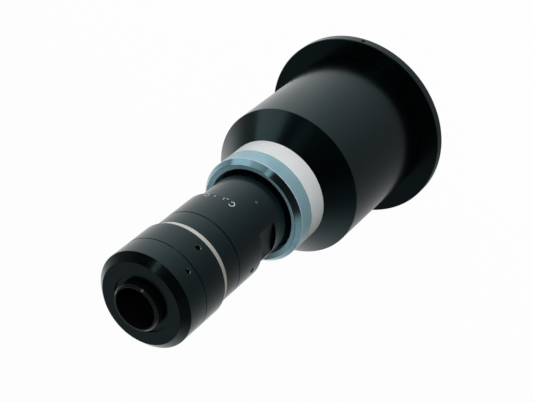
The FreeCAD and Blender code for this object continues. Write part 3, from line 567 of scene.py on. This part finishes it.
def near_holes(diameter: float, flare: float, radius: float, z: float, azimuth: float,
               count: int) -> FaceTest:
    """Makes a test for the widened edges of equally spaced radial holes.

    Args:
        diameter: Diameter of the holes in millimetres.
        flare: Width of their widened edge.
        radius: Radius of the surface that they are drilled into.
        z: Height of their centres.
        azimuth: Direction of one of them.
        count: How many there are.

    Returns:
        A test on the middle of a face.
    """
    def test(middle: Vector) -> bool:
        """Tells whether a face lies on such an edge."""
        if not radius - flare - 0.05 < math.hypot(middle.x, middle.y) / MM < radius - 0.03:
            return False
        step = 360 / count
        turn = math.degrees(math.atan2(middle.y, middle.x)) - azimuth
        swing = math.radians((turn + step / 2) % step - step / 2)
        return math.hypot(radius * MM * swing, middle.z - z * MM) < (diameter / 2 + flare * 0.9) * MM
    return test


def sag(curve: float, radius: float) -> float:
    """Depth of a spherical face at a radius, with the sign of its curve."""
    return math.copysign(abs(curve) - math.sqrt(curve ** 2 - radius ** 2), curve)


def wrap(drawing: Form, radius: float, azimuth: float, z: float) -> Form:
    """Wraps a flat drawing round a cylinder.

    Args:
        drawing: Drawing in metres, with X round the cylinder, Y along the axis and Z outwards.
        radius: Radius of the cylinder in millimetres.
        azimuth: Where the drawing's origin goes.
        z: Height of its origin in millimetres.

    Returns:
        The same drawing, in place.
    """
    for vert in drawing.verts:
        flat = vert.co.copy()
        angle = math.radians(azimuth) + flat.x / (radius * MM)
        out = radius * MM + flat.z
        vert.co = (out * math.cos(angle), out * math.sin(angle), z * MM + flat.y)
    return drawing


def bow(width: float, height: float, line: float, opening: float = 0.0) -> Form:
    """Draws the round bow of a letter O or C, with a little thickness, centred on the origin.

    Args:
        width: Width of the letter in millimetres.
        height: Its height.
        line: Width of its line.
        opening: Angle in degrees that is left open towards +X, or 0 for a closed bow.

    Returns:
        The flat drawing in metres.
    """
    drawing = bmesh.new()
    steps = 40
    start = math.radians(opening / 2)
    rows = []
    for k in range(steps + 1 if opening else steps):
        angle = start + (FULL_TURN - 2 * start) * k / steps
        x, y = math.cos(angle), math.sin(angle)
        rows.append([drawing.verts.new(((width / 2 - inset) * x * MM, (height / 2 - inset) * y * MM, z * MM))
                     for inset, z in ((0, -0.02), (0, 0.02), (line, 0.02), (line, -0.02))])
    pairs = list(zip(rows, rows[1:])) + ([] if opening else [(rows[-1], rows[0])])
    for first, second in pairs:
        for k in range(4):
            drawing.faces.new((first[k], first[(k + 1) % 4], second[(k + 1) % 4], second[k]))
    if opening:
        drawing.faces.new(rows[0])
        drawing.faces.new(rows[-1])
    bmesh.ops.recalc_face_normals(drawing, faces=drawing.faces[:])
    return drawing


def stroke(width: float, length: float, turn: float = 0.0) -> Form:
    """Draws one straight stroke along the axis, turned by an angle in degrees."""
    drawing = bmesh.new()
    bmesh.ops.create_cube(drawing, size=1.0)
    scale = Matrix.Diagonal((width * MM, length * MM, 0.04 * MM, 1))
    bmesh.ops.transform(drawing, matrix=Matrix.Rotation(math.radians(turn), 4, "Z") @ scale,
                        verts=drawing.verts[:])
    return drawing


@dataclass
class ObjectiveEnd:
    """Mounting flange, barrel with its cone and neck, and the holes of the flange's screws."""

    flange_d: float = 107.0
    flange_t: float = 5.5
    flange_edge: float = 0.4
    seat_d: float = 81.0
    seat_gap: float = 0.05
    screw_hole_d: float = 2.1
    screw_drop: float = 2.4
    screw_azimuth: float = 37.8
    screws: int = 3
    barrel_d: float = 84.6
    cone_low: float = 79.45
    cone_top: float = 92.1
    edge: float = 0.3
    groove_w: float = 0.8
    groove_h: float = 0.5
    neck_d: float = 51.0
    neck_top: float = 107.35
    ring_d: float = 59.3
    bore_d: float = 76.6
    thread_d: float = 76.5
    glass_seat_d: float = 75.1
    ledge_d: float = 72.1
    thread_top: float = 12.589
    ledge: float = 24.3
    ledge_l: float = 4.0
    inner_cone_low: float = 77.793
    inner_cone_top: float = 93.543
    tube_bore_d: float = 45.1

    def flange(self) -> None:
        """Turns the flange and drills it for its three grub screws."""
        bore = self.seat_d / 2 + self.seat_gap
        outer = self.flange_d / 2
        form = ring(bore, outer, 0, self.flange_t, 0.08, self.flange_edge, self.flange_edge)
        z = self.flange_t - self.screw_drop
        holes = [radial_tool(self.screw_hole_d, bore - 1, outer, z,
                             self.screw_azimuth + 360 * k / self.screws) for k in range(self.screws)]
        piece("mounting_flange", carve(form, holes), BLACK)

    def barrel(self) -> None:
        """Turns the barrel, its 45-degree cone and its neck in one piece."""
        outer = self.barrel_d / 2
        seat = self.seat_d / 2
        neck = self.neck_d / 2
        groove = outer - self.groove_h
        z = self.flange_t
        form = turned([
            (seat, 0), (seat, z), (groove, z), (groove, z + self.groove_w), (outer, z + self.groove_w),
            (outer, self.cone_low - self.edge), (outer - self.edge / 2, self.cone_low),
            (self.ring_d / 2, self.cone_top), (neck, self.cone_top), (neck, self.neck_top),
            (self.tube_bore_d / 2, self.neck_top), (self.tube_bore_d / 2, self.inner_cone_top),
            (self.bore_d / 2, self.inner_cone_low), (self.bore_d / 2, self.ledge + self.ledge_l),
            (self.ledge_d / 2, self.ledge + self.ledge_l), (self.ledge_d / 2, self.ledge),
            (self.glass_seat_d / 2, self.ledge), (self.glass_seat_d / 2, self.thread_top),
            (self.thread_d / 2, self.thread_top), (self.thread_d / 2, 0),
        ], 0.06)
        inside = (lambda middle: math.hypot(middle.x, middle.y) < (self.bore_d / 2 + 0.2) * MM
                  and middle.z < self.inner_cone_top * MM and not self.on_cone(middle))
        piece("objective_barrel", form, BLACK, others=[(inside, BORE_BLACK)])

    def on_cone(self, middle: Vector) -> bool:
        """Tells whether a face's middle lies on the outside of the cone or its shoulder."""
        radius = math.hypot(middle.x, middle.y) / MM
        height = middle.z / MM
        outside = self.ring_d / 2 + (self.cone_top - height)
        return height > self.cone_low - 1 and radius > outside - 1.5

    def build(self) -> None:
        """Builds both pieces."""
        self.flange()
        self.barrel()


@dataclass
class LockRings:
    """Silver ring and blue lock ring on the barrel's neck."""

    bore_d: float = 51.1
    ring_d: float = 59.3
    silver_low: float = 92.1
    silver_top: float = 104.35
    blue_edge: float = 113.75
    blue_top: float = 117.2
    bevel_h: float = 2.45
    land: float = 0.35
    lip_depth: float = 1.0
    lip_bore_d: float = 49.0
    neck_top: float = 107.35

    def silver(self) -> None:
        """Turns the plain silver ring."""
        form = ring(self.bore_d / 2, self.ring_d / 2, self.silver_low, self.silver_top, 0.10)
        piece("silver_ring", form, SILVER)

    def blue(self) -> None:
        """Turns the blue ring with its long bevel and dished lip."""
        bore = self.bore_d / 2
        outer = self.ring_d / 2
        bevel = outer - self.bevel_h
        lip = self.lip_bore_d / 2
        form = turned([
            (bore, self.silver_top), (outer, self.silver_top), (outer, self.blue_edge),
            (bevel, self.blue_top), (bevel - self.land, self.blue_top),
            (lip, self.blue_top - self.lip_depth), (lip, self.neck_top), (bore, self.neck_top),
        ], 0.16)
        cut = (lambda middle: middle.z > (self.blue_edge + 0.02) * MM)
        dish = (lambda middle: math.hypot(middle.x, middle.y) < (bevel - self.land / 2) * MM
                and middle.z > (self.blue_top - self.lip_depth - 0.1) * MM)
        # The edge above the bevel and the edge of the lip carry painted highlight lines.
        upper = near_edge(outer, self.blue_edge, 0.17)
        inner = near_edge(lip, self.blue_top - self.lip_depth, 0.2)
        piece("blue_ring", form, BLUE,
              others=[(cut, BLUE_CUT), (dish, BLUE_DISH), (upper, BLUE_EDGE_HIGHLIGHT), (inner, BLUE_EDGE_HIGHLIGHT)])

    def build(self) -> None:
        """Builds both rings."""
        self.silver()
        self.blue()


@dataclass
class IrisSection:
    """Rear tube with its flats and window, the iris control ring with its marks, and the collar."""

    tube_d: float = 45.0
    seat_d: float = 43.0
    cell_seat_d: float = 39.7
    iris_bore_d: float = 37.0
    tube_bore_d: float = 34.0
    field_seat_d: float = 35.1
    tube_low: float = 90.35
    field_seat: float = 103.35
    iris_ledge: float = 146.9
    cell_base: float = 160.0
    ring_low: float = 144.4
    ring_top: float = 165.1
    collar_top: float = 176.8
    ring_d: float = 49.0
    end_gap: float = 0.1
    seam: float = 0.3
    flat_depth: float = 2.0
    flat_l: float = 13.6
    flat_gap: float = 2.5
    flat_azimuth: float = -54.0
    pin_z: float = 152.0
    pin_azimuth: float = -67.0
    pin_d: float = 2.0
    head_d: float = 3.0
    head_in: float = 22.1
    slot_h: float = 2.4
    slot_start: float = -115.7
    slot_sweep: float = 67.4
    dot_d: float = 1.5
    dot_azimuth: float = 4.8
    dot_z: float = 131.9

    def window(self) -> Form:
        """Makes the form of the window that the drive pin sweeps through."""
        low = self.pin_z - self.slot_h / 2
        high = low + self.slot_h
        inner = self.iris_bore_d / 2 - 1
        outer = self.tube_d / 2 + 1
        corners = [(inner, low), (outer, low), (outer, high), (inner, high)]
        return swept_tool(corners, self.slot_start, self.slot_sweep, 36)

    def tube(self) -> None:
        """Turns the rear tube and mills its two flats and the pin's window."""
        outer = self.tube_d / 2
        seat = self.seat_d / 2
        cell = self.cell_seat_d / 2
        iris = self.iris_bore_d / 2
        bore = self.tube_bore_d / 2
        glass = self.field_seat_d / 2
        form = turned([
            (glass, self.tube_low), (outer, self.tube_low), (outer, self.ring_low), (seat, self.ring_low),
            (seat, self.collar_top), (cell, self.collar_top), (cell, self.cell_base), (iris, self.cell_base),
            (iris, self.iris_ledge), (bore, self.iris_ledge), (bore, self.field_seat),
            (glass, self.field_seat),
        ], 0.06)
        centre = self.ring_low - self.flat_gap - self.flat_l / 2
        reach = 8
        size = (reach, 2 * self.tube_d, self.flat_l)
        place = (outer - self.flat_depth + reach / 2, 0, centre)
        flats = [block_tool(size, place, self.flat_azimuth + turn) for turn in (0, 180)]
        swing = Matrix.Rotation(math.radians(-self.flat_azimuth), 3, "Z")
        milled = (lambda middle: abs(middle.z - centre * MM) < (self.flat_l / 2 - 0.05) * MM
                  and abs(abs((swing @ middle).x) - (outer - self.flat_depth) * MM) < 0.02 * MM)
        piece("rear_tube", carve(form, [*flats, self.window()]), BLACK, others=[(milled, FLAT_BLACK)])

    def control_ring(self) -> None:
        """Turns the iris control ring and drills the stepped hole of its pin."""
        bore = self.seat_d / 2 + 0.06
        outer = self.ring_d / 2
        form = ring(bore, outer, self.ring_low + self.end_gap, self.ring_top - self.end_gap, 0.07,
                    self.seam, self.seam)
        shank = radial_tool(self.pin_d, bore - 1, outer, self.pin_z, self.pin_azimuth, 0)
        head = radial_tool(self.head_d, self.head_in, outer, self.pin_z, self.pin_azimuth, 0.1)
        form = carve(carve(form, [shank]), [head])
        piece("iris_control_ring", form, BLACK, body=Body.IRIS)

    def marks(self) -> None:
        """Puts the marks for open and closed on the control ring, and the index dot on the tube."""
        radius = self.ring_d / 2
        for name, drawing, azimuth, z in (
                ("mark_open", bow(2.8, 2.9, 0.30), 56.3, 146.5),
                ("mark_closed", bow(3.2, 3.6, 0.38, 85), 21.4, 146.6),
                ("mark_tick", stroke(0.26, 1.6), 44.7, 146.3),
                ("mark_short_tick", stroke(0.28, 1.5), 33.3, 146.1),
                ("mark_cross_stroke", stroke(0.32, 1.5, 80), 29.6, 145.0)):
            piece(name, wrap(drawing, radius + 0.01, azimuth, z), PAINT, Body.IRIS, "",
                  Shading.FLAT)
        dot = bmesh.new()
        bmesh.ops.create_cone(dot, cap_ends=True, segments=32, radius1=self.dot_d / 2 * MM,
                              radius2=self.dot_d / 2 * MM, depth=0.04 * MM)
        piece("index_dot", wrap(dot, self.tube_d / 2 + 0.005, self.dot_azimuth, self.dot_z), INDEX_PAINT,
              ending="", shading=Shading.FLAT)

    def collar(self) -> None:
        """Turns the fixed collar behind the control ring."""
        form = ring(self.seat_d / 2 + 0.05, self.ring_d / 2, self.ring_top, self.collar_top, 0.06, self.seam)
        piece("collar", form, BLACK)

    def build(self) -> None:
        """Builds the tube, the ring, its marks and the collar."""
        self.tube()
        self.control_ring()
        self.marks()
        self.collar()


@dataclass
class CameraEnd:
    """Bare ring, adjusting sleeve, rear cap and threaded camera nose."""

    cell_seat_d: float = 39.7
    bare_d: float = 49.5
    cap_d: float = 52.0
    bare_low: float = 176.8
    bare_top: float = 180.2
    sleeve_top: float = 196.25
    cap_top: float = 212.7
    nose_top: float = 217.2
    seam: float = 0.3
    bevel: float = 3.75
    face_t: float = 6.4
    screws: int = 3
    sleeve_hole_d: float = 2.6
    sleeve_hole_z: float = 185.6
    sleeve_hole_azimuth: float = 6.6
    cap_hole_d: float = 2.1
    cap_hole_z: float = 200.1
    cap_hole_azimuth: float = -5.4
    flare: float = 0.4
    nose_d: float = 25.4
    nose_bore_d: float = 22.2
    nose_edge: float = 1.0
    relief_d: float = 23.6
    relief_w: float = 0.8
    spigot_d: float = 27.0
    nose_flange_d: float = 30.2
    nose_flange_t: float = 0.8
    recess: float = 0.6
    thread_pitch: float = 25.4 / 32
    thread_depth: float = 0.45
    thread_start: float = -140.7

    def bare(self) -> None:
        """Turns the thin bare ring."""
        form = ring(self.cell_seat_d / 2, self.bare_d / 2, self.bare_low, self.bare_top, 0.12)
        piece("bare_ring", form, IVORY)

    def drilled(self, form: Form, diameter: float, z: float, azimuth: float) -> tuple[Form, FaceTest]:
        """Drills three radial screw holes, and makes the test for their widened edges."""
        outer = self.cap_d / 2
        holes = [radial_tool(diameter, self.cell_seat_d / 2 - 1, outer, z, azimuth + 360 * k / self.screws,
                             self.flare) for k in range(self.screws)]
        return carve(form, holes), near_holes(diameter, self.flare, outer, z, azimuth, self.screws)

    def sleeve(self) -> None:
        """Turns the adjusting sleeve and drills its screw holes."""
        form = ring(self.cell_seat_d / 2, self.cap_d / 2, self.bare_top, self.sleeve_top, 0.07,
                    self.seam, self.seam)
        form, highlight_rims = self.drilled(form, self.sleeve_hole_d, self.sleeve_hole_z, self.sleeve_hole_azimuth)
        # The widened edges of the holes carry the painted highlight.
        piece("adjusting_sleeve", form, BLACK, others=[(highlight_rims, HOLE_RIM_HIGHLIGHT)])

    def cap(self) -> None:
        """Turns the rear cap with its wide bevel and drills its screw holes."""
        outer = self.cap_d / 2
        seat = self.cell_seat_d / 2
        spigot = self.spigot_d / 2 + 0.05
        recess = self.nose_flange_d / 2 + 0.05
        plate = self.cap_top - self.face_t
        step = self.cap_top - self.recess - self.nose_flange_t
        c = self.seam
        form = turned([
            (seat, self.sleeve_top), (outer - c, self.sleeve_top), (outer, self.sleeve_top + c),
            (outer, self.cap_top - self.bevel), (outer - self.bevel, self.cap_top), (recess, self.cap_top),
            (recess, step), (spigot, step), (spigot, plate), (seat, plate),
        ], 0.08)
        form, highlight_rims = self.drilled(form, self.cap_hole_d, self.cap_hole_z, self.cap_hole_azimuth)
        low = (self.cap_top - self.bevel) * MM
        front = outer - 0.05
        bevelled = (lambda middle: middle.z > low
                    and math.hypot(middle.x, middle.y) > (front - self.bevel) * MM)
        # The widened edges of the holes carry the painted highlight.
        piece("rear_cap", form, BLACK, others=[(bevelled, BEVEL_BLACK), (highlight_rims, HOLE_RIM_HIGHLIGHT)])

    def thread_tool(self) -> Form:
        """Makes the form of the thread's groove: a V turned along a helix."""
        outer = self.nose_d / 2
        root = outer - self.thread_depth
        over = 0.15
        half = (self.thread_depth + over) * math.tan(math.radians(30))
        low = self.cap_top - self.recess + self.relief_w - self.thread_pitch / 2
        turns = math.ceil((self.nose_top - low) / self.thread_pitch) + 1
        corners = [(root, low), (outer + over, low - half), (outer + over, low + half)]
        return swept_tool(corners, self.thread_start, 360 * turns, 90 * turns, self.thread_pitch * turns)

    def nose(self) -> None:
        """Turns the nose and cuts its thread."""
        bore = self.nose_bore_d / 2
        outer = self.nose_d / 2
        relief = self.relief_d / 2
        spigot = self.spigot_d / 2
        flange = self.nose_flange_d / 2
        step = self.cap_top - self.recess
        plate = self.cap_top - self.face_t
        under = step - self.nose_flange_t
        over = step + self.relief_w
        form = turned([
            (bore, plate), (spigot, plate), (spigot, under), (flange, under), (flange, step),
            (relief, step), (relief, over), (outer, over), (outer, self.nose_top - self.nose_edge),
            (outer - self.nose_edge, self.nose_top), (bore, self.nose_top),
        ], 0.12)
        form = carve(form, [self.thread_tool()])
        inside = (lambda middle: math.hypot(middle.x, middle.y) < (bore + 0.03) * MM
                  and middle.z < (self.nose_top - 0.15) * MM)
        # The rim of the bore carries a painted highlight line.
        rim = near_edge(bore, self.nose_top, 0.2)
        # The outer chamfer carries a painted highlight.
        half = self.nose_edge / 2
        highlight_slope = near_edge(outer - half, self.nose_top - half, half)
        piece("mount_nose", form, BEVEL_BLACK, ending="threaded",
              others=[(highlight_slope, NOSE_SLOPE_HIGHLIGHT), (inside, BORE_BLACK), (rim, NOSE_RIM_HIGHLIGHT)])

    def build(self) -> None:
        """Builds the four pieces of the camera end."""
        self.bare()
        self.sleeve()
        self.cap()
        self.nose()


@dataclass
class Element:
    """One glass element between two spherical faces.

    A positive curve has its centre above the face, a negative one below it.
    """

    node: str
    diameter: float
    z_low: float
    low_curve: float
    z_top: float
    top_curve: float
    glass: CoatedGlass
    gap: float = 0.01

    def build(self, rings: int = 28) -> None:
        """Turns the element from its two arcs and its rim, a hair inside its solid."""
        rim = self.diameter / 2 - self.gap
        arc = [rim * k / rings for k in range(rings + 1)]
        low = [(r, self.z_low + self.gap + sag(self.low_curve, r)) for r in arc]
        top = [(r, self.z_top - self.gap + sag(self.top_curve, r)) for r in arc]
        form = turned(low + top[::-1], 0, 128)
        piece(self.node, form, self.glass, ending="polished", shading=Shading.CURVED)


@dataclass
class Optics:
    """All seven glass elements."""

    objective_d: float = 75.0
    small_d: float = 24.0
    field_d: float = 35.0

    def build(self) -> None:
        """Builds the cemented objective, the field lens and the rear group."""
        elements = (
            Element("objective_crown_lens", self.objective_d, 6.0, 110, 22.474, -90, CROWN_GLASS),
            Element("objective_flint_lens", self.objective_d, 22.474, -90, 26.474, -300, FLINT_GLASS),
            Element("field_lens", self.field_d, 97.741, 95, 100.741, 60, CROWN_GLASS),
            Element("rear_flint_lens", self.small_d, 164.905, -80, 166.705, 24, FLINT_GLASS),
            Element("rear_crown_lens", self.small_d, 166.705, 24, 173.009, -34, CROWN_GLASS),
            Element("rear_middle_lens", self.small_d, 176.120, 40, 181.105, -40, CROWN_GLASS),
            Element("rear_last_lens", self.small_d, 183.995, 30, 188.595, 90, CROWN_GLASS),
        )
        for element in elements:
            element.build()


@dataclass
class InnerParts:
    """Pieces whose solids already have their true shape, and only get their finish."""

    matt: tuple[str, ...] = ("barrel_baffle", "field_lens_retainer", "rear_cell", "rear_spacer_low",
                             "rear_spacer_top", "rear_retaining_ring", "iris_retaining_ring",
                             "iris_base_plate", "iris_cam_ring")
    satin: tuple[str, ...] = ("objective_retaining_ring",)
    steel: tuple[str, ...] = ("flange_grub_screws", "sleeve_grub_screws", "cap_grub_screws", "iris_drive_pin")
    blades: int = 8

    def build(self) -> None:
        """Gives each carried-over piece its finish."""
        steel = self.steel + tuple(f"iris_blade_{k + 1}" for k in range(self.blades))
        for names, finish in ((self.matt, BORE_BLACK), (self.satin, BLACK), (steel, STEEL)):
            for name in names:
                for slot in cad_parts[name].material_slots:
                    slot.material = finish.material()
                log.info("%s keeps its solid, with %s", name, finish.name)


@dataclass(frozen=True)
class Lamp:
    """One soft lamp. Its place and size are in metres, and its face is white at a brightness of 1."""

    name: str
    place: Place
    width: float
    height: float
    brightness: float
    mirrored: bool = True

    def hang(self, aim: Place) -> None:
        """Hangs the lamp so that it faces a point."""
        data = bpy.data.lights.new(self.name, "AREA")
        data.shape = "RECTANGLE"
        data.size = self.width
        data.size_y = self.height
        data.energy = self.brightness * math.pi * self.width * self.height
        made = placed(self.name, data)
        made.location = self.place
        made.visible_glossy = self.mirrored
        made.rotation_euler = (Vector(self.place) - Vector(aim)).to_track_quat("Z", "Y").to_euler()


@dataclass
class Studio:
    """Pale floor, soft light and the camera."""

    floor_radius: float = 3.0
    plain_share: float = 0.45
    camera_place: Place = (0.49972, 0.0, 0.63866)
    camera_right: Place = (0.56300, -0.64093, -0.52177)
    camera_up: Place = (0.46862, 0.76760, -0.43725)
    camera_back: Place = (0.68075, 0.00166, 0.73251)
    focal_mm: float = 94.25
    aim: Place = (0.0, 0.0, 0.15)
    bright_far_side: Place = (0.643, -0.766, 0.0)
    dim_front: Place = (0.979, -0.202, 0.0)
    floor_share: tuple[float, float] = (0.95, 0.97)
    lamps: tuple[Lamp, ...] = (
        Lamp("side_softbox", (0.035, 0.40, 0.20), 0.25, 0.22, 1.0),
        Lamp("low_panel", (0.44, 0.60, 0.27), 0.38, 0.18, 0.62),
        Lamp("low_strip", (0.64, 0.42, 0.37), 0.14, 0.16, 0.95),
        Lamp("tall_strip", (0.553, 0.496, 0.905), 0.10, 0.34, 1.7),
        Lamp("key_softbox", (1.00, 0.22, 0.90), 0.9, 0.9, 6.2, mirrored=False),
    )

    def camera(self) -> None:
        """Sets the camera at the photograph's viewing angle."""
        data = bpy.data.cameras.new("camera")
        data.sensor_width = 36.0
        data.lens = self.focal_mm
        data.clip_start = 0.01
        data.clip_end = 20.0
        made = placed("camera", data)
        turn = Matrix((self.camera_right, self.camera_up, self.camera_back)).transposed()
        made.matrix_world = Matrix.Translation(self.camera_place) @ turn.to_4x4()
        bpy.context.scene.camera = made

    def floor(self) -> None:
        """Lays a round pale floor that shows white and keeps the object's shadow."""
        form = bmesh.new()
        bmesh.ops.create_circle(form, cap_ends=True, segments=96, radius=self.floor_radius)
        bmesh.ops.translate(form, verts=form.verts[:], vec=(0, 0, -0.0002))
        mesh = mesh_of("floor", form)
        made = bpy.data.materials.new("pale_floor")
        made.use_nodes = True
        graph = Graph(made.node_tree)
        graph.tree.nodes.remove(graph.tree.nodes["Principled BSDF"])
        out = graph.tree.nodes["Material Output"]
        chalk = graph.node("ShaderNodeBsdfDiffuse")
        chalk.inputs["Color"].default_value = (0.95, 0.95, 0.95, 1)
        glow = graph.node("ShaderNodeEmission")
        ray = graph.node("ShaderNodeLightPath")
        place = graph.node("ShaderNodeTexCoord").outputs["Object"]
        line = graph.node("ShaderNodeVectorMath", operation="NORMALIZE")
        graph.join(place, line.inputs[0])
        soft = graph.spread(graph.along(line.outputs["Vector"], self.bright_far_side), -0.4, 1.0, 1.0, 0.2)
        beyond = graph.spread(graph.axes(place)["Y"], 0.3, 0.6, 1.0, 0.6, True)
        seen = self.lighten(graph, ray, graph.sum("MULTIPLY", soft, beyond), glow)
        share = graph.spread(seen, 0.0, 1.0, *self.floor_share)
        mix = graph.node("ShaderNodeMixShader")
        graph.join(share, mix.inputs["Fac"])
        graph.join(chalk.outputs["BSDF"], mix.inputs[1])
        graph.join(glow.outputs["Emission"], mix.inputs[2])
        graph.join(mix.outputs["Shader"], out.inputs["Surface"])
        mesh.materials.append(made)
        placed("floor", mesh)

    def sky(self) -> None:
        """Makes the plain surroundings: white behind the object, soft and dimmer above it."""
        world = bpy.data.worlds.new("studio")
        bpy.context.scene.world = world
        world.use_nodes = True
        graph = Graph(world.node_tree)
        out = graph.tree.nodes["World Output"]
        graph.tree.nodes.remove(graph.tree.nodes["Background"])
        ray = graph.node("ShaderNodeLightPath")
        way = graph.node("ShaderNodeTexCoord").outputs["Generated"]
        axes = graph.axes(way)
        rise = graph.spread(axes["Z"], 0.10, 0.45, 0.62, 0.08, True)
        side = graph.spread(axes["Y"], 0.2, 0.7, 1.0, 0.35, True)
        back = graph.spread(axes["X"], -0.5, -0.8, 0.0, 0.20, True)
        front = graph.spread(graph.along(way, self.dim_front), 0.5, 0.74, 1.0, 0.1, True)
        around = graph.sum("MULTIPLY", graph.sum("MULTIPLY_ADD", rise, side, back), front)
        room = graph.node("ShaderNodeBackground")
        self.lighten(graph, ray, around, room)
        room.inputs["Color"].default_value = (1, 1, 1, 1)
        graph.join(room.outputs["Background"], out.inputs["Surface"])

    def lighten(self, graph: Graph, ray: bpy.types.Node, level: Socket,
                source: bpy.types.Node) -> Socket:
        """Sets how bright a part of the room is: white where it is looked at, and its own level else.

        Args:
            graph: Node tree of the part.
            ray: Its Light Path node.
            level: How bright shiny surfaces see it. Plain ones get a share of that.
            source: Node that takes the strength.

        Returns:
            Output that is 1 where the camera sees the part, straight or through glass.
        """
        share = graph.spread(ray.outputs["Is Glossy Ray"], 0.0, 1.0, self.plain_share, 1.0)
        seen = graph.sum("MAXIMUM", ray.outputs["Is Camera Ray"], ray.outputs["Is Transmission Ray"])
        graph.join(graph.sum("MAXIMUM", seen, graph.sum("MULTIPLY", level, share)), source.inputs["Strength"])
        return seen

    def build(self) -> None:
        """Sets up floor, surroundings, lamps and camera."""
        bpy.context.scene.view_settings.view_transform = "Standard"
        self.floor()
        self.sky()
        for lamp in self.lamps:
            lamp.hang(self.aim)
        self.camera()


def main() -> None:
    """Builds the lens from the object end to the camera end."""
    logging.basicConfig(level=logging.INFO, format="%(message)s")
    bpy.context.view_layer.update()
    Studio().build()
    for part in (ObjectiveEnd(), LockRings(), IrisSection(), CameraEnd(), Optics(), InnerParts()):
        part.build()


if __name__ == "__main__":
    main()
